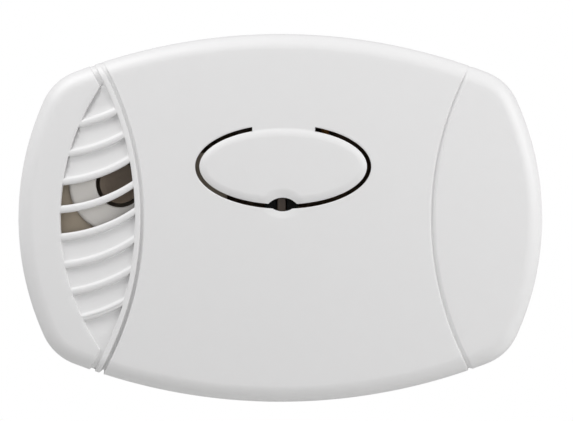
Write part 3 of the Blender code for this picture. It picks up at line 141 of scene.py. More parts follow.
# Slats: arcs one pitch apart; the rows run from one slat's crest (0) down to the next (1)
SLATS = 8
SLAT_TOP = 22.0
SLAT_PITCH = 6.71
SLAT_RADIUS = 36.6
SLAT_LOW_X = -55.8
OPEN_SLOTS = (2, 3)
OPEN_TOP = 0.128
OPEN_BOTTOM = 0.85
OPEN_INSET = 0.11
SLAT = [
    (0.0, -0.03), (0.04, 0.0), (0.08, 0.08), (0.108, 0.22), (0.122, 0.40), (0.13, 0.80),
    (0.138, 1.15), (0.155, 1.24), (0.20, 1.20), (0.35, 1.04), (0.55, 0.84), (0.72, 0.66),
    (0.82, 0.52), (0.855, 0.42), (0.885, 0.19), (0.92, 0.05), (0.96, -0.02), (1.0, -0.03),
]
UNDER_LAST_SLAT = [(t, depth) for t, depth in SLAT if t < 0.8]
TAIL_START = 0.82
TAIL = 0.52

# The inner face is deeper behind the vents, over a pad that reaches past the field
VENT_BACK = 2.7
PAD_EDGE = (-1.8, -1.2)
PAD_REACH = 34

# Button: an ellipse that stands proud, with a slot round it and a strip that joins it at the top
BUTTON = (0.7, 12.4)
BUTTON_HALF = (20.2, 9.15)
SLOT = 1.05
BRIDGE = (-6.75, 8.4)
PROUD = 0.6
BUTTON_EDGE = 0.6
BUTTON_ROLL = 2.1
FLARE = 1.8
FLARE_FADE = 1.6
STRIP_OUT = 0.9
STRIP_IN = 0.5
STRIP_DEPTH = 1.5
SLOT_FILLET = 0.3
SLOT_FILLET_DROP = 0.1

# Resonator, and the ring between it and the plate round it
HORN_CENTRE = ((HORN_LOW[0] + HORN_HIGH[0]) / 2, (HORN_LOW[2] + HORN_HIGH[2]) / 2)
HORN_RADIUS = (HORN_HIGH[0] - HORN_LOW[0]) / 2
HORN_WALL = 1.2
HORN_HOLE = 5.8
HORN_LEDGE = 1.5
HORN_LEDGE_FROM_BACK = 3.3
SEAL_BELOW_HORN = 0.95
SEAL_DEPTH = 0.8
SEAL_PLAY = 0.02
SEAL_WIDTH = 0.29

# What the cover and button carry behind
BUTTON_BACK = BUTTON_LOW[1] + 2.5
POST = (0.7, 11.0)
POST_RADIUS = 1.5
BOSS_PLACES = [(x, z) for x in (-47.3, 47.3) for z in (-24.1, 24.1)]
BOSS_RADIUS = 3.3
BOSS_END = -12.0
BOSS_SINK = 0.4

# Window in the slot's lowest point, with a shallow dish round it
WINDOW = (0.55, 3.25)
WINDOW_HALF = (3.55, 1.65)
DISH = (0.55, 3.45)
DISH_HALF = (5.3, 3.9)
DISH_DEPTH = 0.75

# Studio, in metres: softboxes by azimuth (positive to the right of the front), elevation and watts
WHITE = (1.0, 1.0, 1.0)
SKY = (0.44, 0.44, 0.45)
GROUND = (0.75, 0.75, 0.75)
BAND_RISE = 0.075
FLOOR_HALF = 1.6
FLOOR_DROP = 0.12
VIEW_DISTANCE = 0.8
VIEW_WIDTH = 0.1381
VIEW_CENTRE = (0.0015, 0.0018)
LIGHT_TARGET = (0.0, -0.03, 0.0)
LIGHT_DISTANCE = 0.45
LIGHT_SIZE = 0.3
SOFTBOXES = [
    ("right_softbox", math.radians(60), math.radians(20), 1.08),
    ("left_softbox", math.radians(-60), math.radians(50), 1.32),
    ("side_softbox", math.radians(85), math.radians(10), 0.12),
]


# ---------------------------------------------------------------- plan geometry


def corner_centre():
    """Centre of the corner arc that touches the side arc and the top arc from inside."""
    side_x = HALF_WIDTH - SIDE_RADIUS
    top_z = HALF_HEIGHT - TOP_RADIUS
    to_side = SIDE_RADIUS - CORNER_RADIUS
    to_top = TOP_RADIUS - CORNER_RADIUS
    apart = math.hypot(side_x, top_z)
    along = (to_side**2 - to_top**2 + apart**2) / (2 * apart)
    across = math.sqrt(to_side**2 - along**2)
    x_unit, z_unit = -side_x / apart, top_z / apart
    return side_x + along * x_unit - across * z_unit, along * z_unit + across * x_unit


CORNER = corner_centre()
SIDE_X = HALF_WIDTH - SIDE_RADIUS
TOP_Z = HALF_HEIGHT - TOP_RADIUS
CORNER_LOW = math.atan2(CORNER[1], CORNER[0] - SIDE_X)
CORNER_HIGH = math.atan2(CORNER[1] - TOP_Z, CORNER[0])


def inset_distance(x, z):
    """How far a point lies inside the outline."""
    x, z = np.abs(x), np.abs(z)
    side = SIDE_RADIUS - np.hypot(x - SIDE_X, z)
    top = TOP_RADIUS - np.hypot(x, z - TOP_Z)
    across, up = x - CORNER[0], z - CORNER[1]
    angle = np.arctan2(up, across)
    at_corner = (angle > CORNER_LOW) & (angle < CORNER_HIGH)
    return np.where(at_corner, CORNER_RADIUS - np.hypot(across, up), np.minimum(side, top))


def arc(centre, radius, start, end, step):
    """Points of an arc, about one step apart, as an array of x and z."""
    count = max(2, int(abs(end - start) * radius / step) + 1)
    angle = np.linspace(start, end, count)
    return np.stack([centre[0] + radius * np.cos(angle), centre[1] + radius * np.sin(angle)], 1)


def outline(inset, step):
    """The body's outline moved in by inset, counter-clockwise from the right."""
    side = arc((SIDE_X, 0.0), SIDE_RADIUS - inset, 0.0, CORNER_LOW, step)
    corner = arc(CORNER, CORNER_RADIUS - inset, CORNER_LOW, CORNER_HIGH, step)
    top = arc((0.0, TOP_Z), TOP_RADIUS - inset, CORNER_HIGH, math.pi / 2, step)
    quarter = np.concatenate([side[:-1], corner[:-1], top])
    half = np.concatenate([quarter, (quarter * (-1, 1))[-2::-1]])
    return np.concatenate([half, (half * (1, -1))[-2:0:-1]])


def ellipse_inset(x, z, centre, half):
    """Roughly how far a point lies inside an ellipse."""
    u, v = (x - centre[0]) / half[0], (z - centre[1]) / half[1]
    level = np.hypot(u, v) + 1e-9
    slope = np.hypot(u / half[0], v / half[1]) / level + 1e-9
    return (1 - level) / slope


def from_table(value, table):
    """Read a table of rows at any value, with straight lines between the rows."""
    keys, levels = zip(*table)
    return np.interp(value, keys, levels)


def smooth_step(value, low, high):
    """0 below low, 1 above high, and a smooth rise between."""
    t = np.clip((value - low) / (high - low), 0, 1)
    return t * t * (3 - 2 * t)


# ---------------------------------------------------------------- the front as a height field


def slat_rise(x):
    """How far a slat has risen at x above its lowest point."""
    run = np.clip(np.abs(x - SLAT_LOW_X), 0, 0.9 * SLAT_RADIUS)
    return SLAT_RADIUS - np.sqrt(SLAT_RADIUS**2 - run**2)


def slat_order(x, z):
    """0 on the first slat's crest, 1 on the second's, and so on down."""
    return (SLAT_TOP + slat_rise(x) - z) / SLAT_PITCH


def slat_line(order, x):
    """The z at x of the line that has this order."""
    return SLAT_TOP + slat_rise(x) - order * SLAT_PITCH


def rail_distance(x, z):
    """Distance from the centre of the circles that the rail and the left groove follow."""
    return np.hypot(x - LEFT_CIRCLE[0], z - LEFT_CIRCLE[1])


def lens_inset(x, z):
    """How far a point lies inside the circle that bounds the vent field on its left."""
    return VENT_RADIUS - np.hypot(x - VENT_CIRCLE[0], z - VENT_CIRCLE[1])


def field_inset(x, z):
    """How far a point lies inside the vent field or the bands past its tips."""
    from_rail = RAIL_EDGE_RADIUS - rail_distance(x, z)
    in_band = BAND_WIDTH - from_rail
    return np.minimum(from_rail, np.maximum(lens_inset(x, z), in_band))


def vent_depth(x, z):
    """How deep the vent field is cut."""
    order = slat_order(x, z)
    between = from_table(order % 1.0, SLAT)
    above = np.where(order < -0.5, RECESS, np.minimum(between, RECESS))
    below = np.minimum(between, from_table(order - SLATS + 1, UNDER_LAST_SLAT))
    below = np.where(order > SLATS - 1 + TAIL_START, TAIL, np.maximum(below, 0))
    depth = np.where(order < 0, above, np.where(order > SLATS - 1, below, between))
    channel = from_table(lens_inset(x, z), CHANNEL) * smooth_step(z, *CHANNEL_START)
    return depth * from_table(field_inset(x, z), EDGE_WALL) * (1 + channel)


def groove_depth(x, z):
    """How deep the two grooves are cut."""
    left = rail_distance(x, z) - LEFT_GROOVE_RADIUS
    right = RIGHT_GROOVE_RADIUS - np.hypot(x - RIGHT_CIRCLE[0], z - RIGHT_CIRCLE[1])
    left_depth = from_table(left, LEFT_GROOVE) * from_table(z, LEFT_GROOVE_SHARE)
    return left_depth + from_table(right, RIGHT_GROOVE)


def button_height(x, z):
    """How far the button, its strip and the cover's flare above it stand proud."""
    inside = ellipse_inset(x, z, BUTTON, BUTTON_HALF)
    roll = np.clip(1 - inside / BUTTON_ROLL, 0, 1) ** 2
    on_button = PROUD - BUTTON_EDGE * roll
    fade = np.where(z > BUTTON[1], 1.0, 0.0)
    fade = fade * smooth_step(x, BRIDGE[0] - FLARE_FADE, BRIDGE[0])
    fade = fade * (1 - smooth_step(x, BRIDGE[1], BRIDGE[1] + FLARE_FADE))
    flare = (PROUD - BUTTON_EDGE) * np.clip(1 + inside / FLARE, 0, 1) ** 2 * fade
    edge = SLOT_FILLET_DROP * np.clip(1 + (inside + SLOT) / SLOT_FILLET, 0, 1) ** 2 * (1 - fade)
    return np.where(inside > 0, on_button, flare - edge)


def dish_depth(x, z):
    """How deep the shallow dish round the window is."""
    level = ((x - DISH[0]) / DISH_HALF[0]) ** 2 + ((z - DISH[1]) / DISH_HALF[1]) ** 2
    return DISH_DEPTH * np.clip(1 - level, 0, 1) ** 2


def carving(x, z):
    """How deep the vents and grooves are cut; they fade towards the top edge."""
    at_top = (1 - smooth_step(inset_distance(x, z), *CARVING_FADE)) * (z > 0)
    return (vent_depth(x, z) + groove_depth(x, z)) * (1 - CARVING_LOSS * at_top)


def dome(x, z):
    """How far the front falls back from its middle."""
    return CROWN_SIDE * (x / HALF_WIDTH) ** 2 + CROWN_TOP * (z / HALF_HEIGHT) ** 2


def front_y(x, z):
    """The y of the front surface. Near the outline it turns back along a quarter circle."""
    carved = carving(x, z)
    inset = inset_distance(x, z)
    turn = ROLL - np.sqrt(np.clip((ROLL - carved) ** 2 - np.clip(ROLL - inset, 0, None) ** 2, 0, None))
    return FRONT + dome(x, z) + turn + dish_depth(x, z) - button_height(x, z)


def front_normals(x, z):
    """Unit normals of the front surface, from its slopes."""
    step = 0.01
    dx = (front_y(x + step, z) - front_y(x - step, z)) / (2 * step)
    dz = (front_y(x, z + step) - front_y(x, z - step)) / (2 * step)
    normal = np.stack([dx, -np.ones_like(dx), dz], 1)
    return normal / np.linalg.norm(normal, axis=1)[:, None]


def inner_y(x, z):
    """The y of the cover's inner face, deeper behind the vents."""
    pad = smooth_step(field_inset(x, z), *PAD_EDGE) * (np.abs(z) < PAD_REACH)
    return FRONT + dome(x, z) + WALL + pad * (VENT_BACK - WALL)


# ---------------------------------------------------------------- triangulated sheets

BACK_SPACING = 4.0


def inside_polygon(points, polygon):
    """Which points lie inside a polygon, by whether a ray crosses its border an odd number of times."""
    result = np.zeros(len(points), bool)
    px, pz = points[:, 0], points[:, 1]
    near = (px > polygon[:, 0].min()) & (px < polygon[:, 0].max())
    near &= (pz > polygon[:, 1].min()) & (pz < polygon[:, 1].max())
    index = np.nonzero(near)[0]
    start, end = polygon, np.roll(polygon, -1, 0)
    for part in np.array_split(index, max(1, len(index) // 4000)):
        if not len(part):
            continue
        x, z = px[part, None], pz[part, None]
        crosses = (start[:, 1] > z) != (end[:, 1] > z)
        rise = np.where(end[:, 1] == start[:, 1], 1.0, end[:, 1] - start[:, 1])
        at = start[:, 0] + (z - start[:, 1]) / rise * (end[:, 0] - start[:, 0])
        result[part] = (crosses & (x < at)).sum(1) % 2 == 1
    return result


def grid_points(low, high, spacing):
    """A triangular grid of points over a rectangle."""
    xs = np.arange(low[0], high[0], spacing)
    rows = np.arange(low[1], high[1], spacing * math.sqrt(0.75))
    points = [(x + (i % 2) * spacing / 2, z) for i, z in enumerate(rows) for x in xs]
    return np.array(points)


def triangulate(loops, lines, spacing, keep):
    """Triangles that follow every loop and line; keep says which centres stay."""
    points, edges = [], []
    for path, closed in [(loop, True) for loop in loops] + [(line, False) for line in lines]:
        first = sum(len(p) for p in points)
        points.append(path)
        count = len(path)
        edges += [(first + i, first + i + 1) for i in range(count - 1)]
        if closed:
            edges.append((first + count - 1, first))
    fixed = np.concatenate(points)
    tree = KDTree(len(fixed))
    for i, (x, z) in enumerate(fixed):
        tree.insert((x, z, 0.0), i)
    tree.balance()
    grid = grid_points(fixed.min(0), fixed.max(0), spacing)
    free = [p for p in grid if tree.find((p[0], p[1], 0.0))[2] > 0.5 * spacing]
    every = np.concatenate([fixed, np.array(free).reshape(-1, 2)])
    made = delaunay_2d_cdt([Vector(p) for p in every], edges, [], 0, 1e-6)
    flat = np.array([(v[0], v[1]) for v in made[0]])
    faces = np.array(made[2])
    corners = flat[faces]
    ab, ac = corners[:, 1] - corners[:, 0], corners[:, 2] - corners[:, 0]
    area = ab[:, 0] * ac[:, 1] - ab[:, 1] * ac[:, 0]
    faces = np.where((area < 0)[:, None], faces[:, ::-1], faces)
    faces = faces[(np.abs(area) > 1e-9) & keep(corners.mean(1))]
    used, inverse = np.unique(faces, return_inverse=True)
    return flat[used], inverse.reshape(-1, 3)


def border_loops(faces):
    """Loops of border vertices, each directed with the sheet on its left."""
    directed = {(int(f[i]), int(f[(i + 1) % 3])) for f in faces for i in range(3)}
    following = {a: b for a, b in directed if (b, a) not in directed}
    loops = []
    while following:
        start, at = following.popitem()
        loop = [start]
        while at != start:
            loop.append(at)
            at = following.pop(at)
        loops.append(loop)
    return loops


def solid_from_sheet(name, flat, faces, front, back, rim=None):
    """Close a sheet into a solid: walls from each border to a plainer sheet behind.

    rim gives the rows that the longest border passes through on its way to the back sheet.
    """
    x, z = flat[:, 0], flat[:, 1]
    vertices = [np.stack([x, front(x, z), z], 1)]
    count = len(flat)
    polygons = [tuple(map(int, f)) for f in faces]
    loops = border_loops(faces)
    outer = max(loops, key=lambda loop: np.ptp(flat[loop][:, 0]) + np.ptp(flat[loop][:, 1]))
    last_rows, last_ids = [], []
    for loop in loops:
        here = flat[loop]
        rows = rim(here) if rim is not None and loop is outer else []
        end = rows[-1][:, [0, 2]] if rows else here
        if not rows:
            rows = [np.stack([end[:, 0], back(end[:, 0], end[:, 1]), end[:, 1]], 1)]
        before = list(loop)
        for row in rows:
            ids = list(range(count, count + len(row)))
            count += len(row)
            vertices.append(row)
            total = len(row)
            for i in range(total):
                j = (i + 1) % total
                polygons.append((before[j], before[i], ids[i], ids[j]))
            before = ids
        last_rows.append(end)
        last_ids.append(before)

    def within(centres):
        result = np.zeros(len(centres), bool)
        for row in last_rows:
            result ^= inside_polygon(centres, row)
        return result

    ring_points = np.concatenate(last_rows)
    ring_ids = np.concatenate([np.array(ids) for ids in last_ids])
    flat_back, faces_back = triangulate(last_rows, [], BACK_SPACING, within)
    tree = KDTree(len(ring_points))
    for i, (px, pz) in enumerate(ring_points):
        tree.insert((px, pz, 0.0), i)
    tree.balance()
    place = {}
    fresh = []
    for i, (px, pz) in enumerate(flat_back):
        _, nearest, distance = tree.find((px, pz, 0.0))
        if distance < 1e-4:
            place[i] = int(ring_ids[nearest])
        else:
            place[i] = count + len(fresh)
            fresh.append((px, pz))
    if fresh:
        fresh = np.array(fresh)
        vertices.append(np.stack([fresh[:, 0], back(fresh[:, 0], fresh[:, 1]), fresh[:, 1]], 1))
    polygons += [tuple(place[int(k)] for k in f[::-1]) for f in faces_back]
    return make_mesh(name, np.concatenate(vertices) * MM, polygons)


def make_mesh(name, vertices, polygons, sharp=35.0):
    """A smooth-shaded object, with edges sharper than this many degrees kept sharp."""
    mesh = bpy.data.meshes.new(name)
    mesh.from_pydata(vertices.tolist(), [], polygons)
    mesh.validate()
    mesh.shade_smooth()
    mesh.set_sharp_from_angle(angle=math.radians(sharp))
    item = bpy.data.objects.new(name, mesh)
    bpy.context.scene.collection.objects.link(item)
    return item


def set_front_normals(item, face_count):
    """Give the front sheet the height field's own normals, so that it shades without facets."""
    mesh = item.data
    co = np.empty(len(mesh.vertices) * 3)
    mesh.vertices.foreach_get("co", co)
    co = co.reshape(-1, 3) / MM
    corner = np.empty(len(mesh.loops), int)
    mesh.loops.foreach_get("vertex_index", corner)
    front_corners = corner[: face_count * 3]
    exact = front_normals(co[front_corners, 0], co[front_corners, 2])
    normals = np.zeros((len(mesh.loops), 3))
    normals[: face_count * 3] = exact
    mesh.normals_split_custom_set(normals.tolist())


# ---------------------------------------------------------------- lines that the sheets follow


def notched_outline():
    """The cover's silhouette, with a notch where each groove runs over the edge."""
    fine = outline(0.0, 0.05)
    carved = carving(fine[:, 0], fine[:, 1])
    change = np.abs(np.gradient(carved)) + carved
    near = np.convolve(change > 1e-3, np.ones(9), "same") > 0
    index = np.arange(len(fine))
    keep = (index % 12 == 0) | (near & (index % 2 == 0))
    points, carved = fine[keep], carved[keep]
    inward = inward_normals(points)
    return points + inward * carved[:, None]


def inward_normals(points):
    """Unit vectors that point straight in from the outline."""
    x, z = points[:, 0], points[:, 1]
    step = 0.01
    dx = inset_distance(x * 0.999 + step, z * 0.999) - inset_distance(x * 0.999 - step, z * 0.999)
    dz = inset_distance(x * 0.999, z * 0.999 + step) - inset_distance(x * 0.999, z * 0.999 - step)
    normal = np.stack([dx, dz], 1)
    return normal / np.linalg.norm(normal, axis=1)[:, None]


def dish_rings():
    """Ellipses round the dish, from its middle to its border."""
    angle = np.linspace(0, math.tau, 60)
    rings = []
    for size in (0.35, 0.5, 0.65, 0.8, 0.92, 1.0):
        x = DISH[0] + DISH_HALF[0] * size * np.cos(angle)
        rings.append(np.stack([x, DISH[1] + DISH_HALF[1] * size * np.sin(angle)], 1))
    return rings


def clip(line, test):
    """The stretches of a line whose points pass a test."""
    passes = test(line[:, 0], line[:, 1])
    parts, part = [], []
    for point, good in zip(line, passes):
        if good:
            part.append(point)
        elif part:
            parts.append(np.array(part))
            part = []
    if part:
        parts.append(np.array(part))
    return [p for p in parts if len(p) > 1]


def in_body(x, z):
    """Whether points lie inside the cover's notched silhouette."""
    return inset_distance(x, z) > carving(x, z) + 0.004


def ellipse_arc(grow, start, end, step=0.25):
    """An arc of the button's ellipse made larger by grow; the angles are those of its circle."""
    count = max(2, int(abs(end - start) * BUTTON_HALF[0] / step) + 1)
    angle = np.linspace(start, end, count)
    x = BUTTON[0] + (BUTTON_HALF[0] + grow) * np.cos(angle)
    return np.stack([x, BUTTON[1] + (BUTTON_HALF[1] + grow) * np.sin(angle)], 1)


def bridge_angles(grow):
    """Angles of the strip's right and left ends on the button's ellipse made larger by grow."""
    width = BUTTON_HALF[0] + grow
    return math.acos((BRIDGE[1] - BUTTON[0]) / width), math.acos((BRIDGE[0] - BUTTON[0]) / width)


def stepped_ellipse(grow, bridge_grow):
    """The button's ellipse at one size, and at another along the bridge."""
    right, left = bridge_angles(grow)
    around = ellipse_arc(grow, left, math.tau + right)
    right, left = bridge_angles(bridge_grow)
    return np.concatenate([around, ellipse_arc(bridge_grow, right, left)])


def window_loop():
    """The window: a lens of two equal arcs."""
    radius = (WINDOW_HALF[0] ** 2 + WINDOW_HALF[1] ** 2) / (2 * WINDOW_HALF[1])
    reach = math.asin(WINDOW_HALF[0] / radius)
    drop = radius - WINDOW_HALF[1]
    up, down = math.pi / 2, -math.pi / 2
    upper = arc((WINDOW[0], WINDOW[1] - drop), radius, up - reach, up + reach, 0.12)
    lower = arc((WINDOW[0], WINDOW[1] + drop), radius, down - reach, down + reach, 0.12)
    return np.concatenate([upper[:-1], lower[:-1]])


def open_slot_loop(index):
    """The border of a slot that goes right through, between two slats, the field's edge and the rail."""
    inset = OPEN_INSET
    xs = np.arange(LEFT_CIRCLE[0] + 50, LEFT_CIRCLE[0] + 80, 0.04)
    sides = []
    for order in (index + OPEN_TOP, index + OPEN_BOTTOM):
        line = np.stack([xs, slat_line(order, xs)], 1)
        sides.append(max(clip(line, lambda x, z: field_inset(x, z) > inset), key=len))
    top, bottom = sides

    def border(centre, radius, start, end):
        angles = [math.atan2(p[1] - centre[1], p[0] - centre[0]) % math.tau for p in (start, end)]
        if abs(angles[0] - angles[1]) > math.pi:
            angles = [(a + math.pi) % math.tau - math.pi for a in angles]
        return arc(centre, radius, angles[0], angles[1], 0.25)[1:-1]

    right = border(LEFT_CIRCLE, RAIL_EDGE_RADIUS - inset, bottom[-1], top[-1])
    left = border(VENT_CIRCLE, VENT_RADIUS - inset, top[0], bottom[0])
    return np.concatenate([bottom[::8], bottom[-1:], right, top[::-1][::8], top[:1], left])


def ring_loops():
    """Lines round the rolled edge, one for every few degrees of its turn."""
    return [outline(ROLL * (1 - math.cos(math.radians(a))), 0.7) for a in range(8, 91, 8)]


ARC_REACH = 0.8  # radians either side of an arc's middle
FIELD_SPAN = (-56.0, -33.0)  # x of the field's left and right
TIP_HEIGHT = 30.5  # the bands begin a little below this height
FIRST_LINE, LAST_LINE = -0.2, SLATS - 0.17  # slat orders between which lines are drawn


def curve_lines():
    """Lines along the grooves, the rail, the field's border and the slats."""
    lines = []
    reach = ARC_REACH
    for s, _ in LEFT_GROOVE:
        lines.append(arc(LEFT_CIRCLE, LEFT_GROOVE_RADIUS + s, -reach, reach, 0.5))
    for s, _ in RIGHT_GROOVE:
        lines.append(arc(RIGHT_CIRCLE, RIGHT_GROOVE_RADIUS - s, math.pi - reach, math.pi + reach, 0.5))
    for m, _ in CHANNEL[2:]:
        channel = arc(VENT_CIRCLE, VENT_RADIUS - m, math.pi - reach, math.pi, 0.4)
        lines += clip(channel, lambda x, z: RAIL_EDGE_RADIUS - rail_distance(x, z) > 0.6)
    for m, _ in EDGE_WALL:
        lines.append(arc(LEFT_CIRCLE, RAIL_EDGE_RADIUS - m, -reach, reach, 0.4))
        band = arc(LEFT_CIRCLE, RAIL_EDGE_RADIUS - BAND_WIDTH + m, -reach, reach, 0.4)
        lines += clip(band, lambda x, z: np.abs(z) > TIP_HEIGHT)
        side = arc(VENT_CIRCLE, VENT_RADIUS - m, math.pi - reach, math.pi + reach, 0.4)
        lines += clip(side, lambda x, z: RAIL_EDGE_RADIUS - rail_distance(x, z) > BAND_WIDTH - 0.3)
    xs = np.arange(*FIELD_SPAN, 0.4)
    for index in range(-1, SLATS):
        for t, _ in SLAT[1:]:
            order = index + t
            if order < FIRST_LINE or order > LAST_LINE:
                continue
            line = np.stack([xs, slat_line(order, xs)], 1)
            lines += clip(line, lambda x, z: field_inset(x, z) > -0.02)
    return [part for line in lines for part in clip(line, in_body)]


# ---------------------------------------------------------------- cover, button and strip


def skirt_rows(points):
    """Rows of the skirt: down its outside, round its edge, across it and up its inside."""
    inward = inward_normals(points)
    x, z = points[:, 0], points[:, 1]
    low = points + inward * SKIRT_ROUND
    inner = points + inward * WALL
    return [
        np.stack([x, np.full_like(x, PARTING - SKIRT_ROUND), z], 1),
        np.stack([low[:, 0], np.full_like(x, PARTING), low[:, 1]], 1),
        np.stack([inner[:, 0], np.full_like(x, PARTING), inner[:, 1]], 1),
        np.stack([inner[:, 0], inner_y(inner[:, 0], inner[:, 1]), inner[:, 1]], 1),
    ]


def make_cover():
    """The front cover as one closed shell with its skirt."""
    edge = notched_outline()
    hole = stepped_ellipse(SLOT, STRIP_OUT)
    window = window_loop()
    slots = [open_slot_loop(i) for i in OPEN_SLOTS]

    def keep(centres):
        near = inset_distance(centres[:, 0], centres[:, 1]) < 1.5
        good = np.ones(len(centres), bool)
        good[near] = inside_polygon(centres[near], edge)
        for loop in [hole, window] + slots:
            good &= ~inside_polygon(centres, loop)
        return good

    lines = [part for ring in ring_loops() for part in clip(ring, in_body)] + curve_lines()
    for grow in (SLOT + 0.15, SLOT + SLOT_FILLET, 1.5, 2.0):
        lines.append(ellipse_arc(grow, 0.0, math.tau, 0.5)[:-1])
    lines += dish_rings()
    flat, faces = triangulate([edge, hole, window] + slots, lines, 1.3, keep)
    cover = solid_from_sheet("cover_shell", flat, faces, front_y, inner_y, skirt_rows)
    set_front_normals(cover, len(faces))
    return cover


def button_back(x, z):
    return np.full_like(x, BUTTON_BACK)


def make_button():
    """The button's flap, proud of the cover, with its edge rolled towards the slot."""
    edge = stepped_ellipse(0.0, -STRIP_IN)
    window = window_loop()
    insets = (0.1, 0.25, 0.45, 0.7, 1.0, 1.35, 1.7, 2.1)
    lines = [ellipse_arc(-inset, 0.0, math.tau, 0.5)[:-1] for inset in insets] + dish_rings()

    def keep(centres):
        return inside_polygon(centres, edge) & ~inside_polygon(centres, window)

    flat, faces = triangulate([edge, window], lines, 1.2, keep)
    button = solid_from_sheet("button_flap", flat, faces, front_y, button_back)
    set_front_normals(button, len(faces))
    return button


def strip_back(x, z):
    return np.full_like(x, BUTTON_LOW[1] + STRIP_DEPTH)


def make_strip():
    """The living hinge: a strip that carries the surface from the cover to the button."""
    right, left = bridge_angles(STRIP_OUT)
    upper = ellipse_arc(STRIP_OUT, right, left)
    right, left = bridge_angles(-STRIP_IN)
    lower = ellipse_arc(-STRIP_IN, left, right)
    edge = np.concatenate([upper, lower])
    lines = []
    for grow in (0.6, 0.3, 0.0, -0.25):
        right, left = bridge_angles(grow)
        lines.append(ellipse_arc(grow, right + 0.01, left - 0.01))
    flat, faces = triangulate([edge], lines, 0.5, lambda centres: inside_polygon(centres, edge))

    strip = solid_from_sheet("hinge_strip", flat, faces, front_y, strip_back)
    set_front_normals(strip, len(faces))
    return strip


# ---------------------------------------------------------------- turned pieces


def turned(name, profile, place, steps=96, sharp=40.0):
    """Turn a closed (radius, y) profile, in millimetres, about a Y axis through place (x, z)."""
    vertices, rows = [], []
    for radius, y in profile:
        if radius < 1e-6:
            rows.append([len(vertices)] * steps)
            vertices.append((place[0], y, place[1]))
            continue
        rows.append(list(range(len(vertices), len(vertices) + steps)))
        for i in range(steps):
            a = math.tau * i / steps
            vertices.append((place[0] + radius * math.cos(a), y, place[1] + radius * math.sin(a)))
    polygons = []
    for row, following in zip(rows, rows[1:] + rows[:1]):
        for i in range(steps):
            j = (i + 1) % steps
            corners = tuple(dict.fromkeys((row[i], row[j], following[j], following[i])))
            if len(corners) > 2:
                polygons.append(corners)
    item = make_mesh(name, np.array(vertices) * MM, polygons, sharp=sharp)
    recalculate(item)
    return item


def recalculate(item):
    """Make every face of a closed mesh look outward."""
    bm = bmesh.new()
    bm.from_mesh(item.data)
    bmesh.ops.recalc_face_normals(bm, faces=bm.faces[:])
    bm.to_mesh(item.data)
    bm.free()


def rounded(points, radius, steps=5):
    """A closed profile with every corner rounded, by less where its sides are short."""
    result = []
    count = len(points)
    for i in range(count):
        here = np.array(points[i], float)
        before = np.array(points[i - 1], float) - here
        after = np.array(points[(i + 1) % count], float) - here
        lengths = np.linalg.norm(before), np.linalg.norm(after)
        if here[0] < 1e-6:
            result.append(tuple(here))
            continue
        cut = min(radius, 0.45 * lengths[0], 0.45 * lengths[1])
        start = here + before / lengths[0] * cut
        end = here + after / lengths[1] * cut
        for k in range(steps + 1):
            t = k / steps
            point = (1 - t) ** 2 * start + 2 * t * (1 - t) * here + t**2 * end
            result.append(tuple(point))
    return result


def make_bosses():
    """The screw bosses behind the cover, one at each corner."""
    bosses = []
    for index, (x, z) in enumerate(BOSS_PLACES):
        start = float(inner_y(np.array([x]), np.array([z]))[0]) - BOSS_SINK
        profile = [(0.0, start), (BOSS_RADIUS, start), (BOSS_RADIUS, BOSS_END), (0.0, BOSS_END)]
        bosses.append(turned(f"cover_boss_{index + 1}", rounded(profile, 0.3), (x, z), steps=48))
    return bosses


def make_post():
    """The post behind the button that presses the switch's plunger."""
    start = BUTTON_BACK - BOSS_SINK
    profile = [(0.0, start), (POST_RADIUS, start), (POST_RADIUS, BUTTON_HIGH[1]), (0.0, BUTTON_HIGH[1])]
    return turned("button_post", rounded(profile, 0.2), POST, steps=48)


def make_horn():
    """The resonator cup: a broad soft ring round a dark hole."""
    front, back = HORN_LOW[1], HORN_HIGH[1]
    inner = HORN_RADIUS - HORN_WALL
    throat = inner - HORN_LEDGE
    ledge_y = back - HORN_LEDGE_FROM_BACK
    profile = [
        (HORN_HOLE, front), (HORN_RADIUS, front), (HORN_RADIUS, back), (inner, back), (inner, ledge_y),
        (throat, ledge_y), (throat, front + HORN_WALL), (HORN_HOLE, front + HORN_WALL),
    ]
    return turned("horn_cup", rounded(profile, 1.0), HORN_CENTRE)


def make_seal():
    """The thin ring that fills the gap between the resonator and the plate round it."""
    front = HORN_LOW[1] + SEAL_BELOW_HORN
    back = front + SEAL_DEPTH
    inner, outer = HORN_RADIUS + SEAL_PLAY, HORN_RADIUS + SEAL_WIDTH
    profile = [(inner, front), (outer, front), (outer, back), (inner, back)]
    return turned("horn_seal", rounded(profile, 0.05), HORN_CENTRE)


# ---------------------------------------------------------------- materials


RELIEF_DISTANCE = 0.03 * MM

